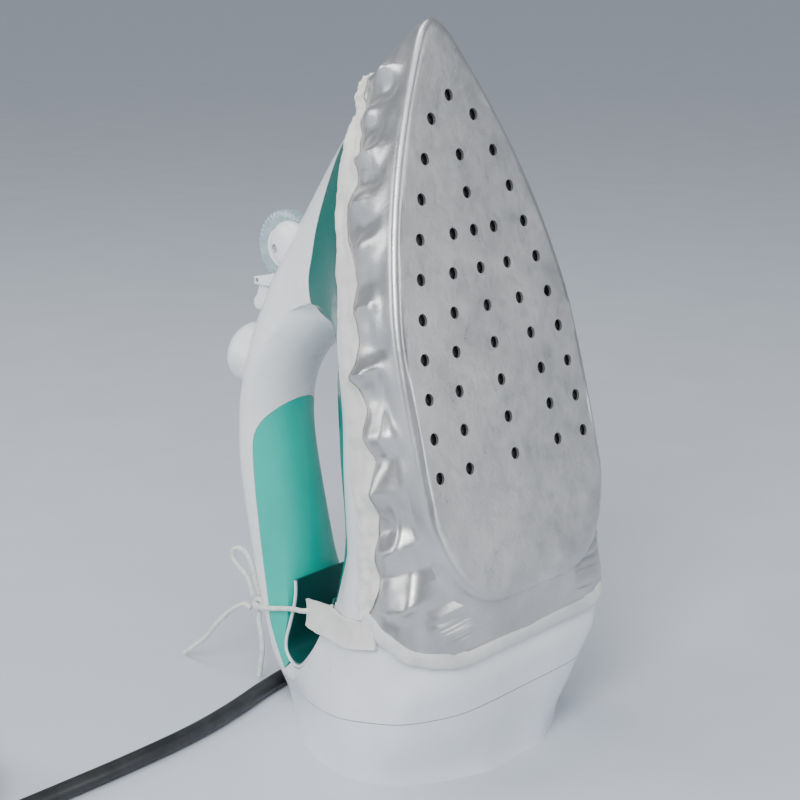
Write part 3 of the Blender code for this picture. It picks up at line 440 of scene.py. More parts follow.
def finish_mesh(name, verts, faces, look=None, world_mm=False, smooth=38, helper=False):
    mesh = bpy.data.meshes.new(name)
    mesh.from_pydata([Vector(v) * MM if world_mm else W(v) for v in verts], [], [tuple(f) for f in faces])
    mesh.update()
    work = bmesh.new()
    work.from_mesh(mesh)
    bmesh.ops.remove_doubles(work, verts=work.verts, dist=2e-7)
    bmesh.ops.recalc_face_normals(work, faces=work.faces)
    work.to_mesh(mesh)
    work.free()
    mesh.shade_smooth()
    mesh.set_sharp_from_angle(angle=math.radians(smooth))
    obj = bpy.data.objects.new(name, mesh)
    bpy.context.scene.collection.objects.link(obj)
    if look:
        mesh.materials.append(look.mat)
    if helper:
        obj.hide_render = True
    return obj


def rings(name, loops, look=None, caps=True, closed_run=False, **kw):
    n = len(loops[0])
    verts = [p for loop in loops for p in loop]
    faces = []
    count = len(loops)
    for i in range(count if closed_run else count - 1):
        a, b = i, (i + 1) % count
        for j in range(n):
            k = (j + 1) % n
            faces.append((a * n + j, a * n + k, b * n + k, b * n + j))
    if caps and not closed_run:
        faces.append(tuple(range(n))[::-1])
        faces.append(tuple(range((count - 1) * n, count * n)))
    return finish_mesh(name, verts, faces, look, **kw)


def prism(name, outline, x0=-95.0, x1=95.0, look=None, **kw):
    return rings(name, [[(x0, y, z) for y, z in outline], [(x1, y, z) for y, z in outline]], look, **kw)


def evaluated_copy(obj):
    """Bakes the modifiers into the mesh."""
    bpy.context.view_layer.update()
    graph = bpy.context.evaluated_depsgraph_get()
    mesh = bpy.data.meshes.new_from_object(obj.evaluated_get(graph), preserve_all_data_layers=True, depsgraph=graph)
    old = obj.data
    obj.modifiers.clear()
    obj.data = mesh
    bpy.data.meshes.remove(old)
    return obj


def cut(obj, cutter, how="DIFFERENCE"):
    mod = obj.modifiers.new(how.lower(), "BOOLEAN")
    mod.operation = how
    mod.solver = "MANIFOLD"
    mod.object = cutter
    return evaluated_copy(obj)


def tidy(obj, angle=38):
    obj.data.shade_smooth()
    obj.data.set_sharp_from_angle(angle=math.radians(angle))
    return obj


def axis_matrix(at, direction):
    z = Vector(direction).normalized()
    x = Vector((1, 0, 0)) if abs(z.x) < 0.9 else Vector((0, 1, 0))
    x = (x - z * x.dot(z)).normalized()
    m = Matrix((x, z.cross(x), z)).transposed().to_4x4()
    m.translation = Vector(at)
    return m


def turned(name, profile, at, direction, look=None, sides=64, ripple=None, bore=False, **kw):
    m = axis_matrix(at, direction)
    rim_r = max(r for r, h in profile)
    loops = []
    for r, h in profile:
        loop = []
        for j in range(sides):
            a = 2 * math.pi * j / sides
            rr = r + (ripple(a) if ripple and r > 0.8 * rim_r else 0.0)
            loop.append(tuple(m @ Vector((rr * math.cos(a), rr * math.sin(a), h))))
        loops.append(loop)
    return rings(name, loops, look, caps=not bore, closed_run=bore, **kw)


def bevelled(obj, width, segments=2, angle=32):
    mod = obj.modifiers.new("bevel", "BEVEL")
    mod.width = width * MM
    mod.segments = segments
    mod.limit_method = "ANGLE"
    mod.angle_limit = math.radians(angle)
    mod.harden_normals = False
    evaluated_copy(obj)
    return tidy(obj, 50)


def bezier(name, points_mm, diameter_mm, look, world_mm=True, resolution=6, ring=4):
    """A cord as a curve of one open spline."""
    curve = bpy.data.curves.new(name, "CURVE")
    curve.dimensions = "3D"
    curve.bevel_depth = diameter_mm / 2 * MM
    curve.bevel_resolution = ring
    curve.use_fill_caps = True
    curve.resolution_u = resolution
    spline = curve.splines.new("BEZIER")
    spline.bezier_points.add(len(points_mm) - 1)
    for b, q in zip(spline.bezier_points, points_mm):
        b.co = Vector(q) * MM if world_mm else W(q)
        b.handle_left_type = b.handle_right_type = "AUTO"
    curve.materials.append(look.mat)
    obj = bpy.data.objects.new(name, curve)
    bpy.context.scene.collection.objects.link(obj)
    return obj


# ---------------------------------------------------------------- mains cord, coil and plug
GUARD_START, GUARD_END = Vector((18.0, 51.5, 33.0)), Vector((50.0, 84.0, 20.5))
guard_dir = (GUARD_END - GUARD_START).normalized()
guard_len = (GUARD_END - GUARD_START).length
ROUTE = [GUARD_END - guard_dir * 12, GUARD_END + guard_dir * 6, (63.5, 97.7, 15.2), (75.7, 110.1, 8.6), (85.3, 121.1, 5.0), (96.8, 128.7, 3.9), (112.3, 130.0, 3.8), (126.4, 123.5, 3.8),
         (135.3, 110.8, 3.8), (136.6, 95.3, 3.8), (130.1, 81.2, 3.8), (119.8, 73.3, 3.8), (107.1, 70.5, 3.8), (74.0, 70.5, 3.8), (42.0, 70.6, 3.8), (10.0, 70.2, 3.8), (-20.0, 65.8, 3.8), (-48.0, 59.2, 3.8),
         (-76.0, 54.8, 3.8), (-110.0, 53.4, 3.8), (-145.0, 53.7, 3.8), (-179.0, 54.3, 3.9)]
COIL = Vector((-205.0, 97.5, 0.0))
R_OUT, R_IN = 43.4, 36.4
# (turn number, radius, height): the cord is wound clockwise from the coil's -Y side.
WIND = [(0.0, R_OUT, 3.9), (0.85, R_OUT, 3.9), (1.05, R_IN, 3.9), (1.85, R_IN, 4.0), (2.05, R_IN, 11.0), (2.85, R_IN, 11.0), (3.05, R_OUT, 11.0),
        (3.85, R_OUT, 11.0), (4.05, R_OUT, 18.0), (4.82, R_OUT, 18.0), (5.02, 38.5, 24.9), (5.12, 36.0, 29.0), (5.20, 35.5, 31.0), (5.25, 35.5, 31.0)]
coil_points = []
turn_at = 0.0
while turn_at <= WIND[-1][0] - 0.02:
    r = float(np.interp(turn_at, [w[0] for w in WIND], [w[1] for w in WIND]))
    z = float(np.interp(turn_at, [w[0] for w in WIND], [w[2] for w in WIND]))
    a = math.radians(-90 - 360 * turn_at)
    coil_points.append((COIL.x + r * math.cos(a), COIL.y + r * math.sin(a), z))
    turn_at += 1 / 20
PLUG_AT = Vector((COIL.x - 35.5, COIL.y - 3.0, 31.0))
route_points = [tuple(p) for p in open_spline([tuple(p) for p in ROUTE], 14)]
cord_points = route_points + coil_points + [(PLUG_AT.x, PLUG_AT.y + 1.0, PLUG_AT.z), (PLUG_AT.x, PLUG_AT.y + 8.0, PLUG_AT.z)]
mains = bezier("mains_cord", cord_points, 7.0, flex, resolution=5, ring=5)
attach(mains, "iron")
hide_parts("power_cord", "cord_coil")

plug_rows = []
for i in range(61):
    t = i / 60 * 37.0
    a = float(np.interp(t, [0, 1.0, 9, 13, 17, 30, 36, 37], [3.9, 4.3, 5.2, 8.6, 10.8, 12.5, 12.4, 11.2]))
    b = float(np.interp(t, [0, 1.0, 9, 13, 17, 30, 36, 37], [3.9, 4.3, 4.9, 6.3, 7.0, 7.4, 7.0, 6.0]))
    if t < 10:
        a -= 0.55 * (0.5 - 0.5 * math.cos(2 * math.pi * t / 2.5))
        b -= 0.55 * (0.5 - 0.5 * math.cos(2 * math.pi * t / 2.5))
    plug_rows.append([(PLUG_AT.x + a * math.copysign(abs(math.cos(q)) ** 0.72, math.cos(q)), PLUG_AT.y + t, PLUG_AT.z + b * math.copysign(abs(math.sin(q)) ** 0.72, math.sin(q)))
                      for q in (k * math.pi / 32 for k in range(64))])
plug = rings("mains_plug", plug_rows, rubber, world_mm=True)
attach(plug, "iron")
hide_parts("cord_plug")

guard_rows = []
for i in range(81):
    t = i / 80 * guard_len
    r = float(np.interp(t, [0, 3, 5, guard_len * 0.5, guard_len], [7.5, 7.5, 6.4, 6.0, 4.6]))
    if t > 6 and t < guard_len - 3:
        r -= 0.65 * (1 if ((t - 6) % 4.2) > 2.9 else 0)
    guard_rows.append((r, t))
guard = turned("cord_sleeve", guard_rows + [(3.75, guard_len), (3.75, 0.0)], GUARD_START, guard_dir, rubber, sides=48, bore=True, world_mm=True)
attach(guard, "iron")
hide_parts("cord_guard")

# ---------------------------------------------------------------- mouldings
LOFT = sorted(set([-112, -104, -96, -88, -80] + [round(v, 2) for v in np.linspace(-76, 196, 92)] + [197.5, 198.8, 199.6, 200.0]))


def under_cover(y, z, skin):
    return skin * smooth_step((y + 30) / 9) * (1 - smooth_step((z - 34.0) / 4.0)) * smooth_step((202 - y) / 12)


def form(name, depth, y_max=200, n=6, skin=1.3):
    loops = []
    for y in LOFT:
        if y > y_max:
            continue
        s = section(y, n)
        limit = 0.32 * np.abs(s[:, 0]).max()
        s = offset(s, [min(depth + under_cover(y, z, skin), limit) for _, z in s])
        loops.append([(x, y, z) for x, z in s])
    return rings(name, loops, None, helper=True)


# Ring of the hand opening with, at each point, how far its edge rolls over (weight) and on what radius.
ROLL = [(0.8, 22), (0.9, 21), (1, 20), (1, 18.9), (1, 18.4), (1, 18.0), (1, 17.9), (1, 18.0), (0.75, 18.4), (0.35, 18.8), (0.08, 19), (0, 19), (0, 19), (0, 20), (0, 20),
        (0, 24), (0, 26), (0.06, 28), (0.18, 28), (0.26, 26), (0.26, 25), (0.3, 25), (0.6, 22)]
ring5 = closed_spline([(*p, *r) for p, r in zip(HAND, ROLL)], 4)
area = 0.5 * sum(a[0] * b[1] - b[0] * a[1] for a, b in zip(ring5, np.roll(ring5, -1, axis=0)))
if area < 0:
    ring5 = ring5[::-1]


def hand_cutter(name, grow=0.0):
    loops = []
    for x in [-95, -40, -30, -25, -21, -19, -17.5, -16.6, -15.6, -14.4, -13, -11, -9, -6.5, -3.5, 0, 3.5, 6.5, 9, 11, 13, 14.4, 15.6, 16.6, 17.5, 19, 21, 25, 30, 40, 95]:
        amounts = []
        for _, _, w, r in ring5:
            q = min(abs(x), 0.985 * r)
            amounts.append(-grow - max(w, 0.0) * (r - math.sqrt(r * r - q * q)))
        ring = offset(ring5[:, :2], amounts)
        loops.append([(x, y, z) for y, z in ring])
    return rings(name, loops, None, helper=True)


def flat_cutter(name, grow):
    ring = offset(ring5[:, :2], [-grow] * len(ring5))
    return prism(name, [tuple(p) for p in ring], -97, 97, helper=True)


hand_cut = hand_cutter("hand_cut")
hand_wide = hand_cutter("hand_wide", WALL)


def heel(z, up=0.0):
    return T * z - HEEL_CUT + up / C


def seam(z, up=0.0):
    return SEAM[0] + SEAM[1] * z + up


def shift(points, dz, dy=0.0):
    return [(y + dy, z + dz) for y, z in points]


def fine(points, step=2.5):
    return [tuple(p) for p in open_spline(points, step)]


hollow = form("hollow", WALL, 187, 3)
cut(hollow, prism("over_floor_wall", [(heel(-5, 2.6), -5), (230, -5), (230, 170), (heel(170, 2.6), 170)], -100, 100, helper=True), "INTERSECT")
cut(hollow, hand_wide)
whole = form("whole", 0.0)


def moulding(name, outline, look, node, roll=True):
    obj = bpy.data.objects.new(name, whole.data.copy())
    bpy.context.scene.collection.objects.link(obj)
    cut(obj, prism(name + "_region", outline, -93, 93, helper=True), "INTERSECT")
    cut(obj, hand_cut)
    cut(obj, hollow)
    obj.data.materials.clear()
    obj.data.materials.append(look.mat)
    tidy(obj)
    return obj


G = 0.2
skirt = fine(SKIRT_TOP)
tank_top = fine(TANK_TOP[:-1]) + [(111.8, 66)]
grip_top = fine(GRIP_TOP, 2.0)
cap_piece = moulding("heel_cap", [(heel(0), 0), (seam(0, -G), 0), (seam(160, -G), 160), (heel(160), 160)], white_cap, "base_cap")
SPLIT_Z = 112
lower = moulding("lower_skirt", [(seam(8.3, G), 8.3), (203, 8.3)] + shift(skirt, -G) + [(3.6, 84), (-6, 100), (-18, SPLIT_Z - G), (seam(SPLIT_Z, G), SPLIT_Z - G)],
                 white_low, "lower_housing")
tank = moulding("tank_side", shift(skirt, G)[::-1] + shift(tank_top, -G) + [(105.8, 71.8), (102, 76), (60, 92), (12, 98), (4.0, 86)], teal_tank, "water_tank")
handle = moulding("handle_body", [(seam(SPLIT_Z, G), SPLIT_Z + G), (-18, SPLIT_Z + G), (-24, 120)] + [(-29.6, 131.4)]
                  + shift([p for p in grip_top[::-1] if p[0] > -27.5 and p[1] > 96], 0.35) + [(90.2, 97.3), (91.7, 84)]
                  + [(102, 78), (106.2, 72.2)] + shift(tank_top, G)[::-1] + [(203, 165), (seam(165, G), 165)], white_top, "handle_shell")
grip = moulding("grip_overmould", grip_top + [(-22, 120), (0, 112), (50, 100), (80, 90)], teal_grip, "grip_insert")

low_part = prism("liner_region", [(-40, 70), (4, 70), (4, 100), (9, 112), (9, 128), (-6, 142), (-40, 142)], -80, 80, helper=True)
liner = form("bowl_lining", 0.7)
liner.hide_render = False
for cutter, how in ((low_part, "INTERSECT"), (flat_cutter("liner_body", -0.3), "INTERSECT"), (flat_cutter("liner_hole", -2.1), "DIFFERENCE")):
    cut(liner, cutter, how)
# the lining gets teal darkened with painted shade
liner.data.materials.clear()
liner.data.materials.append(teal_liner_painted_shade.mat)
tidy(liner)

edge_ring = offset(ring5[:, :2], [0.9] * len(ring5))
lip_yz = [tuple(p) for p in edge_ring if p[0] < 8.5 and (p[1] > 100 or p[0] < 3.5)]
turn_from = max(range(len(lip_yz)), key=lambda i: math.dist(lip_yz[i], lip_yz[i - 1]))
lip_yz = lip_yz[turn_from:] + lip_yz[:turn_from]
lips = []
for side, word in ((1, "left"), (-1, "right")):
    lip = bezier("bowl_lip_" + word, [(side * (surface_h(y, z) - 0.5), y, z) for y, z in lip_yz], 1.5, white_top, world_mm=False, ring=2, resolution=3)
    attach(lip, "iron")

# ---------------------------------------------------------------- thumbwheel, flap, button
X = Vector((1, 0, 0))
wheel_at = Vector((0, 148.4, 99.6))
R = 15.5
slot_cut = turned("wheel_slot", [(R + 0.8, -4.6), (R + 0.8, 4.6)], wheel_at, X, sides=64, helper=True)
cut(handle, slot_cut)
teeth = 42


def serration(a):
    return -0.75 * abs(math.sin(teeth * a / 2)) ** 0.8


wheel = turned("thumbwheel", [(9.2, -4), (12.4, -4.0), (12.9, -3.7), (14.0, -3.7), (R - 0.5, -3.5), (R, -2.9), (R, 2.9), (R - 0.5, 3.5), (14.0, 3.7), (12.9, 3.7), (12.4, 4.0), (9.2, 4)],
               wheel_at, X, dial_look, sides=252, ripple=serration, bore=True, smooth=30)
hub = turned("thumbwheel_hub", [(1.75, -4.1), (3.2, -4.1), (3.8, -3.3), (6.8, -3.3), (7.3, -4.1), (8.9, -4.1), (8.9, 4.1), (7.3, 4.1), (6.8, 3.3), (3.8, 3.3), (3.2, 4.1), (1.75, 4.1)],
             wheel_at, X, white_top, sides=72, bore=True)
for piece, node_name, slot_name in ((wheel, "temperature_dial", "clear_blue_grey"), (hub, "dial_hub", "white_moulding")):
    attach(piece, "dial")
    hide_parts(node_name)

outer_skin = form("outer_skin", -0.3, n=4)
for side, word in ((1, "left"), (-1, "right")):
    cheek = turned("wheel_cheek_" + word, [(9.6, 4.6 * side), (9.7, 6.4 * side), (9.3, 7.6 * side), (8.4, 8.6 * side), (7.2, 9.2 * side), (3.0, 9.5 * side)], (0, 149, 93.5), X, white_top, sides=64)
    cut(cheek, turned("axle_bore_" + word, [(1.95, -12), (1.95, 12)], wheel_at, X, sides=24, helper=True))
    cut(cheek, outer_skin)
    tidy(cheek)
    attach(cheek, "iron")
    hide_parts("dial_cheek_" + word)

PIN = (137.0, 112.4)
flap_ring = [(PIN[0] + 1.5 * math.cos(math.radians(d)), PIN[1] + 1.5 * math.sin(math.radians(d))) for d in (-70, -35, 0, 35, 70, 105)]
flap_ring += [(134.0, 114.9), (131.2, 116.7), (129.6, 119.0), (127.6, 119.9), (125.6, 119.4), (124.4, 117.9), (124.5, 115.4), (126.6, 113.2), (129.8, 110.9), (133.0, 108.9)]
flap = prism("filler_lid", flap_ring, -8, 8, white_top)
bevelled(flap, 0.9, 3, 40)
cut(flap, turned("pin_bore", [(0.75, -12), (0.75, 12)], (0, *PIN), X, sides=16, helper=True))
tidy(flap, 40)
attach(flap, "flap")
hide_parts("filler_flap")

cut(handle, turned("filler_bore", [(3.9, 60), (3.9, 122)], (0, 128.0, 0), (0, 0, 1), sides=32, helper=True))


def crest_normal(y):
    return Vector((0, -(crest(y + 3) - crest(y - 3)) / 6, 1)).normalized()


button_at = Vector((0, 104.0, crest(104.0)))
button_n = crest_normal(97.0)
cut(handle, turned("button_well", [(13.9, -13), (13.9, 30)], button_at, button_n, sides=72, helper=True))
dome = [(1.0, 8.2), (9.3, 8.2), (9.6, -6.5), (13.35, -6.5), (13.45, 0.0), (13.45, 6.8)]
dome += [(13.45 * math.cos(a) ** 0.62 if a < 1.5 else 0.25, 6.8 + 6.9 * math.sin(a) ** 1.15) for a in np.linspace(0.08, 1.56, 20)]
button = turned("steam_push_button", dome, button_at, button_n, white_top, sides=96, smooth=45)
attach(button, "button")
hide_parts("steam_button")

g_at, g_dir = to_iron(GUARD_START), (to_iron(GUARD_START + guard_dir) - to_iron(GUARD_START)).normalized()
for piece in (handle, lower, grip):
    cut(piece, turned("guard_bore_" + piece.name, [(8.0, -30), (8.0, 40)], g_at, g_dir, sides=40, helper=True))
for piece, node_name, slot_name in ((cap_piece, "base_cap", "white_cap_moulding"), (lower, "lower_housing", "white_lower_moulding"), (tank, "water_tank", "teal_tank"),
                                    (handle, "handle_shell", "white_moulding"), (grip, "grip_insert", "teal_soft_grip"), (liner, "bowl_liner", "teal_liner")):
    tidy(piece)
    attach(piece, "iron")
    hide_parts(node_name)

# ---------------------------------------------------------------- fabric cover
ROWS = [
    ((0, 222.5), (205.8, 36.5, 0.0)), ((6.5, 219), (204.2, 36.8, 5.4)), ((12, 212), (199.8, 37.6, 8.4)),
    ((18, 202), (193, 38.8, None)), ((27, 186), (181, 39.5, None)), ((37, 165), (163, 39.6, None)),
    ((46, 140), (140, 39.6, None)), ((52.5, 113), (113, 39.6, None)), ((54.5, 92), (92, 39.6, None)),
    ((55, 70), (70, 39.6, None)), ((55, 48), (48, 39.8, None)), ((54, 33), (32, 40.6, None)), ((48, 18), (17, 42.0, None)),
    ((40, 8), (3.5, 43.4, None)), ((30, 2), (-7, 30.6, None)), ((20, 0), (-14.2, 18.0, None)), ((10, -0.2), (-17.8, 11.2, 37.0)),
    ((0, -0.2), (-20.0, 10.2, 0.0)),
]
PER = 12
base_pts, rim_pts = [], []
for (bx, by), (ry, rz, rx) in ROWS:
    base_pts.append((bx, by))
    rim_pts.append((surface_h(ry, rz) + 1.0 if rx is None else rx, ry, rz))
base_ring = closed_spline(base_pts + [(-x, y) for x, y in base_pts[-2:0:-1]], PER)
rim_ring = closed_spline(rim_pts + [(-x, y, z) for x, y, z in rim_pts[-2:0:-1]], PER)
COLS = len(base_ring)
run = np.concatenate([[0], np.cumsum(np.linalg.norm(np.diff(np.vstack([base_ring, base_ring[:1]]), axis=0), axis=1))])
PERIM = float(run[-1])

rng = np.random.RandomState(7)
# Gathers: place along the outline, width, height, slant, and where up the wall each is strongest.
folds = []
s_at = 4.0
while s_at < PERIM - 3:
    folds.append((s_at, rng.uniform(2.6, 6.4), rng.uniform(2.4, 5.2) * (1 if len(folds) % 2 else -0.6), rng.uniform(-9, 9), rng.uniform(0.32, 0.60)))
    s_at += rng.uniform(6.5, 14.5)


def wrap(d):
    return (d + PERIM / 2) % PERIM - PERIM / 2


def gather(s, t):
    """Outward push of the cloth in mm, at outline place s and height share t."""
    total = 0.0
    for at, width, tall, slant, peak in folds:
        d = wrap(s - at - slant * (t - 0.6))
        if abs(d) < 3 * width:
            total += tall * (0.6 * math.exp(-((d / width) ** 2)) + 0.4 * math.exp(-abs(d) / (0.7 * width))) * math.exp(-(((t - peak) / 0.27) ** 2))
    return total


def wall_point(j, t, lift=0.0):
    """Point of the cover's side at column j, share t of the way from the face's edge to the rim."""
    j = j % COLS
    (bx, by), (rx, ry, rz) = base_ring[j], rim_ring[j]
    z = 2.6 + (rz - 2.6) * t
    y = by + (ry - by) * t**1.1
    # The tip and the heel lean over sooner than the sides do.
    x = bx + (rx - bx) * t
    if abs(rx) > 10 and z > 8:
        x = math.copysign(max(abs(x), surface_h(y, z) + 1.0), x)
    s = run[j]
    tangent = base_ring[(j + 1) % COLS] - base_ring[j - 1]
    tangent = tangent / np.linalg.norm(tangent)
    out = np.array([-tangent[1], tangent[0]])
    if out.dot(base_ring[j] - np.array([0.0, 100.0])) < 0:
        out = -out
    push = gather(s, t) * smooth_step((t + 0.02) / 0.30) * (1 - 0.55 * smooth_step((t - 0.82) / 0.18))
    rear = smooth_step((12 - by) / 14)
    push *= 1 - 0.45 * rear
    p = noise.noise(Vector((bx * 0.11, by * 0.11, z * 0.16 + 3.3)))
    push += 1.3 * p * smooth_step(t / 0.3) + 1.5 * math.sin(math.pi * min(t / 0.8, 1.0)) ** 1.2 + lift
    push = max(push, -0.55 + lift)
    lean = 0.25 * push * (1 if t > 0.4 else 0)
    return (x + out[0] * push, y + out[1] * push, z + lean * 0.3)


def face_point(j, k):
    """Point on the flat face: k runs from 0 in the middle to 1 at the edge."""
    bx, by = base_ring[j % COLS]
    cy = min(max(by, 40.0), 190.0) * (1 - k) + by * k if False else 96.0 + (by - 96.0) * k
    x, y = bx * k, cy
    z = 0.18 * noise.noise(Vector((x * 0.035, y * 0.035, 1.7))) - 0.1
    z += 0.35 * smooth_step((40 - y) / 40) * noise.noise(Vector((x * 0.07, y * 0.06, 5.1)))
    return (x, y, z)


inner_k = [0.04, 0.12, 0.2, 0.28, 0.36, 0.44, 0.52, 0.6, 0.67, 0.74, 0.8, 0.85, 0.89, 0.925, 0.95]
loops = [[face_point(j, k) for j in range(COLS)] for k in inner_k]
# Rounded edge between the face and the side.
EDGE_R = 2.6
for q in (0.0, 0.25, 0.5, 0.75, 1.0):
    a = q * math.pi / 2
    loop = []
    for j in range(COLS):
        bx, by = base_ring[j]
        wob = 0.5 * noise.noise(Vector((bx * 0.12, by * 0.12, 9.0)))
        tangent = base_ring[(j + 1) % COLS] - base_ring[j - 1]
        tangent = tangent / np.linalg.norm(tangent)
        out = np.array([-tangent[1], tangent[0]])
        if out.dot(base_ring[j] - np.array([0.0, 100.0])) < 0:
            out = -out
        inset = EDGE_R * (1 - math.sin(a)) + wob * 0.0
        loop.append((bx - out[0] * inset, by - out[1] * inset, EDGE_R * (1 - math.cos(a)) - 0.05 + 0.0 * wob))
    loops.append(loop)
wall_t = [0.04, 0.09, 0.14, 0.19, 0.24, 0.29, 0.34, 0.39, 0.44, 0.49, 0.54, 0.59, 0.64, 0.69, 0.74, 0.79, 0.84, 0.88, 0.92, 0.96, 1.0]
loops += [[wall_point(j, t) for j in range(COLS)] for t in wall_t]
verts = [p for loop in loops for p in loop] + [(0.0, 96.0, -0.1)]
faces = []
for i in range(len(loops) - 1):
    for j in range(COLS):
        k = (j + 1) % COLS
        faces.append((i * COLS + j, i * COLS + k, (i + 1) * COLS + k, (i + 1) * COLS + j))
centre = len(verts) - 1
for j in range(COLS):
    faces.append((j, (j + 1) % COLS, centre))
cover = finish_mesh("silver_cover", verts, faces, silver, smooth=60)
# The outward side must face away from the iron before the cloth is thickened inwards.
lowest = min(cover.data.polygons, key=lambda f: (f.center - W((0, 96, -0.1))).length)
if lowest.normal.dot(Vector((0, -C, S))) < 0:
    cover.data.flip_normals()
thick = cover.modifiers.new("cloth", "SOLIDIFY")
thick.thickness = 1.15 * MM
thick.offset = -1
thick.use_even_offset = False
evaluated_copy(cover)
HOLE_D = 4.8
EYELETS = [(192.4, [0]), (184.1, [12.6]), (169.5, [0, 20.6]), (154.9, [0, 26.7]), (140.3, [0, 12.3, 31.6]), (125.7, [0, 16.6, 35.3]),
           (111.1, [0, 20.2, 38.6]), (96.6, [0, 23.3, 41.6]), (82.0, [0, 25.6, 43.4]), (67.4, [0, 27.0, 44.7]), (52.8, [0, 28.0, 45.5])]
hole_verts, hole_faces = [], []
SIDES = 28
for y, xs in EYELETS:
    for x in sorted({v for a in xs for v in (a, -a)}):
        base = len(hole_verts)
        for z in (-4, 1.6):
            hole_verts += [(x + HOLE_D / 2 * math.cos(2 * math.pi * i / SIDES), y + HOLE_D / 2 * math.sin(2 * math.pi * i / SIDES), z) for i in range(SIDES)]
        hole_faces += [[base + i, base + (i + 1) % SIDES, base + SIDES + (i + 1) % SIDES, base + SIDES + i] for i in range(SIDES)]
        hole_faces += [[base + i for i in range(SIDES)][::-1], [base + SIDES + i for i in range(SIDES)]]
cut(cover, finish_mesh("eyelet_punch", hole_verts, hole_faces, helper=True))
tidy(cover, 50)

# Cream casing of the drawn hem, over the upper part of the side; its lower edge wanders where the cloth is gathered.
WAVY = [(206, 34), (199, 33), (192, 35), (185, 32), (177, 29), (172, 26), (165, 30), (156, 31.5), (147.5, 31), (137, 25), (130, 23), (116, 27), (111, 23), (99, 27), (87, 22), (78, 24),
        (66, 22), (56, 21), (42, 22), (30, 28), (20, 29), (12, 34), (3, 41)]
wavy_y = [p[0] for p in WAVY][::-1]
wavy_z = [p[1] for p in WAVY][::-1]


def casing_share(j):
    """Height share where the casing begins at column j."""
    rx, ry, rz = rim_ring[j % COLS]
    y = ry if rx < 0 else min(max(ry + 6.0 * math.sin(ry * 0.09), 4), 204)
    z = float(np.interp(y, wavy_y, wavy_z))
    return (z - 2.6) / (rz - 2.6)


first = next(j for j in range(COLS) if rim_ring[j][1] < 4.5)                       # down one side
span = [j for j in range(-first + 1, first)]
ACROSS = 14
casing_out, casing_in = [], []
for j in span:
    t0 = min(casing_share(j), 0.97)
    s = run[j % COLS]
    out_row, in_row = [], []
    for i in range(ACROSS + 1):
        q = i / ACROSS
        t = t0 + (1.03 - t0) * q
        ruche = 0.42 * math.sin(s * 1.15 + 2.2 * math.sin(s * 0.21) + 0.8 * q) + 0.22 * math.sin(s * 2.7 + 1.3)
        puff = 0.75 + 1.15 * math.sin(math.pi * min(max((q - 0.35) / 0.65, 0), 1)) ** 0.8 + 0.35 * math.sin(math.pi * min(q / 0.4, 1))
        out_row.append(wall_point(j, t, puff + ruche * (0.35 + 0.65 * math.sin(math.pi * q)) * 0.9))
        in_row.append(wall_point(j, t, 0.12))
    casing_out.append(out_row)
    casing_in.append(in_row)
verts, faces = [], []
n = ACROSS + 1
for out_row, in_row in zip(casing_out, casing_in):
    verts += out_row + in_row[::-1]
m = 2 * n
for i in range(len(span) - 1):
    for j in range(m):
        k = (j + 1) % m
        faces.append((i * m + j, i * m + k, (i + 1) * m + k, (i + 1) * m + j))
faces += [tuple(range(m))[::-1], tuple(range((len(span) - 1) * m, len(span) * m))]
casing = finish_mesh("hem_casing_cloth", verts, faces, cream, smooth=65)

# Bound edge round the heel.
bind_cols = list(range(first - 3, COLS - first + 4))
loops = []
for j in bind_cols:
    a, b = Vector(wall_point(j, 1.0)), Vector(wall_point(j, 0.86))
    tangent = (Vector(wall_point(j + 1, 1.0)) - Vector(wall_point(j - 1, 1.0))).normalized()
    up = (a - b)
    up = (up - tangent * up.dot(tangent)).normalized()
    side = tangent.cross(up).normalized()
    ends = min(1.0, (min(j - bind_cols[0], bind_cols[-1] - j) + 1) / 4)
    mid = a - up * 2.0
    loop = []
    for i in range(14):
        q = 2 * math.pi * i / 14
        loop.append(tuple(mid + up * (3.1 * ends * math.copysign(abs(math.cos(q)) ** 0.7, math.cos(q))) + side * (1.25 * ends * math.sin(q) + 0.08 * math.sin(run[j % COLS] * 2.4))))
    loops.append(loop)
binding = rings("bound_heel_edge", loops, binding_look, smooth=60)

STRING_Y = -3.0
straps = []
for side, word in ((1, "left"), (-1, "right")):
    rows = []
    for i in range(53):
        z = 36 + 71.5 * i / 52
        row_out, row_in = [], []
        for k in range(9):
            v = k / 8
            y = STRING_Y - 5.4 + 10.4 * v + 0.25 * math.sin(z * 0.11)
            h = surface_h(min(max(y, -19), 20), z) if z < 84 else float(np.interp(z, [84, 108], [surface_h(y, 84), surface_h(y, 112) + 0.6]))
            wav = 0.35 * math.sin(z * 0.16 + 2 * v) + 0.12 * math.sin(z * 0.5 + side)
            edge = 0.35 * (abs(2 * v - 1) ** 4)
            row_out.append((side * (h + 2.15 + wav + edge), y, z))
            row_in.append((side * (h + 0.95 + wav), y, z))
        rows.append(row_out + row_in[::-1])
    strap = rings("cover_tab_" + word, rows, cream, smooth=60)
    straps.append(strap)
    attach(strap, "iron")
    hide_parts("cover_strap_" + word)

for piece, nodes, slot_name in ((cover, ["cover_shell"], "silver_cover"), (casing, ["hem_casing"], "cream_tape"), (binding, ["rear_binding"], "cream_tape")):
    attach(piece, "iron")
    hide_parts(*nodes)

# ---------------------------------------------------------------- drawstring
SD = 2.2


def round_back(z, side, lift=2.4):
    h = surface_h(STRING_Y, z)
    return (side * (h + lift * 0.85), STRING_Y, z + lift * 0.25)


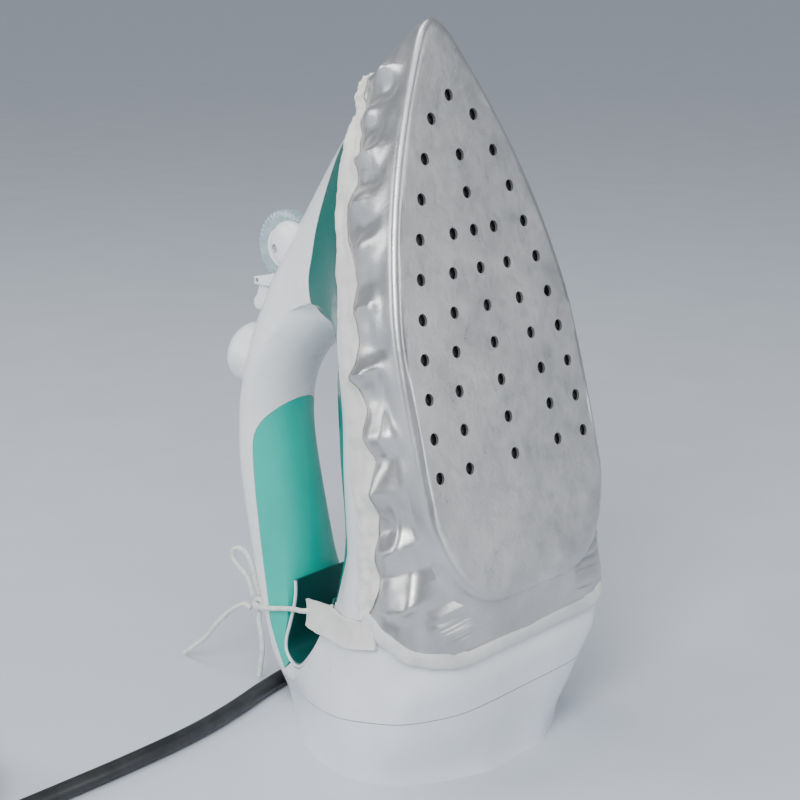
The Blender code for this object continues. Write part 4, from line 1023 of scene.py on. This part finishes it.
KNOT = (9.0, STRING_Y, crest(STRING_Y) + 2.6)
left_run = [(22.6, STRING_Y, 104.0)] + [round_back(z, 1) for z in (108.6, 116, 125, 134)] + [(16.6, STRING_Y, 144.6), (13.4, STRING_Y, 149.0)]
right_run = [(-22.6, STRING_Y, 104.0)] + [round_back(z, -1) for z in (108.6, 116, 125, 134)] + [(-16.6, STRING_Y, 144.6), (-12.5, STRING_Y, 149.4), (-5.0, STRING_Y, 150.6), (4.6, STRING_Y, 150.9)]
LOOP = [(12.0, 1.2, 151.8), (12.4, 9.3, 152.6), (12.8, 17.7, 158.6), (12.8, 22.3, 157.2), (12.4, 21.6, 151.6), (12.0, 15.5, 148.9), (10.4, 5.0, 149.6), (9.4, 1.4, 150.2)]
END_A = [(12.8, -4.6, 154.0), (13.2, -2.6, 157.6), (14.0, -5.2, 166.0), (14.6, -10.5, 175.5), (15.0, -17.6, 186.0), (15.2, -24.7, 202.0)]
END_B = [(10.2, -7.0, 151.6), (11.0, -11.5, 152.4), (11.6, -17.0, 151.8), (12.0, -25.3, 153.3), (12.0, -35.8, 158.0)]
for name, points, node_name in (("tie_string_left", left_run, "drawstring_left"), ("tie_string_right", right_run, "drawstring_right"), ("tie_bow_loop", LOOP, "bow_loop")):
    piece = bezier(name, [tuple(p) for p in open_spline(points, 4)], SD, string_look, world_mm=False, ring=3)
    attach(piece, "iron")
    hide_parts(node_name)
knot_wraps = []
for i in range(41):
    a = i / 40 * 2 * math.pi * 2.6
    knot_wraps.append((KNOT[0] - 2.6 + 5.2 * i / 40, KNOT[1] + (2.0 + 0.2 * math.sin(a * 0.5)) * math.cos(a), KNOT[2] + 0.9 + 2.0 * math.sin(a)))
knot = bezier("tie_knot", knot_wraps, 2.3, string_look, world_mm=False, ring=3)
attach(knot, "iron")
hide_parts("bow_knot")
for name, points, node_name in (("tie_end_long", END_A, "string_end_long"), ("tie_end_short", END_B, "string_end_short")):
    sampled = open_spline(points, 3.5)
    piece = bezier(name, [tuple(p) for p in sampled], SD, string_look, world_mm=False, ring=3)
    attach(piece, "iron")
    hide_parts(node_name)

# ---------------------------------------------------------------- floor
floor_mesh = bpy.data.meshes.new("floor")
floor_mesh.from_pydata([(-30, -30, 0), (30, -30, 0), (30, 30, 0), (-30, 30, 0)], [], [(0, 1, 2, 3)])
floor = bpy.data.objects.new("floor", floor_mesh)
bpy.context.scene.collection.objects.link(floor)
paper = Nodes("pale_paper", (0.60, 0.64, 0.70), 0.9)
paper.tint(paper.band(paper.noise(60, 3), 0.3, 0.7, 0, 1), (0.585, 0.625, 0.685), (0.615, 0.655, 0.715))
floor_mesh.materials.append(paper.mat)

for obj in list(bpy.data.objects):
    if obj.type == "MESH" and obj.hide_render and obj.name not in frame["nodes"] and obj.name != "floor":
        if obj.name.startswith(("hand_", "hollow", "whole", "outer_skin", "over_floor", "liner_", "wheel_slot", "axle_bore", "pin_bore", "filler_bore", "button_well", "guard_bore", "eyelet_punch")) or obj.name.endswith("_region"):
            bpy.data.objects.remove(obj, do_unlink=True)

# A Boolean can leave an empty slot ahead of a piece's own material, so each piece with one material is given it on every face.
def one_look(obj):
    own = {m for m in obj.data.materials if m}
    if len(own) == 1 and len(obj.data.materials) > 1:
        obj.data.materials.clear()
        obj.data.materials.append(own.pop())
        for face in obj.data.polygons:
            face.material_index = 0


for obj in bpy.data.objects:
    if obj.type == "MESH":
        one_look(obj)

# The pump's spring is given a mesh of its own.
spring = bpy.data.objects["pump_spring"]
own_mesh(spring)
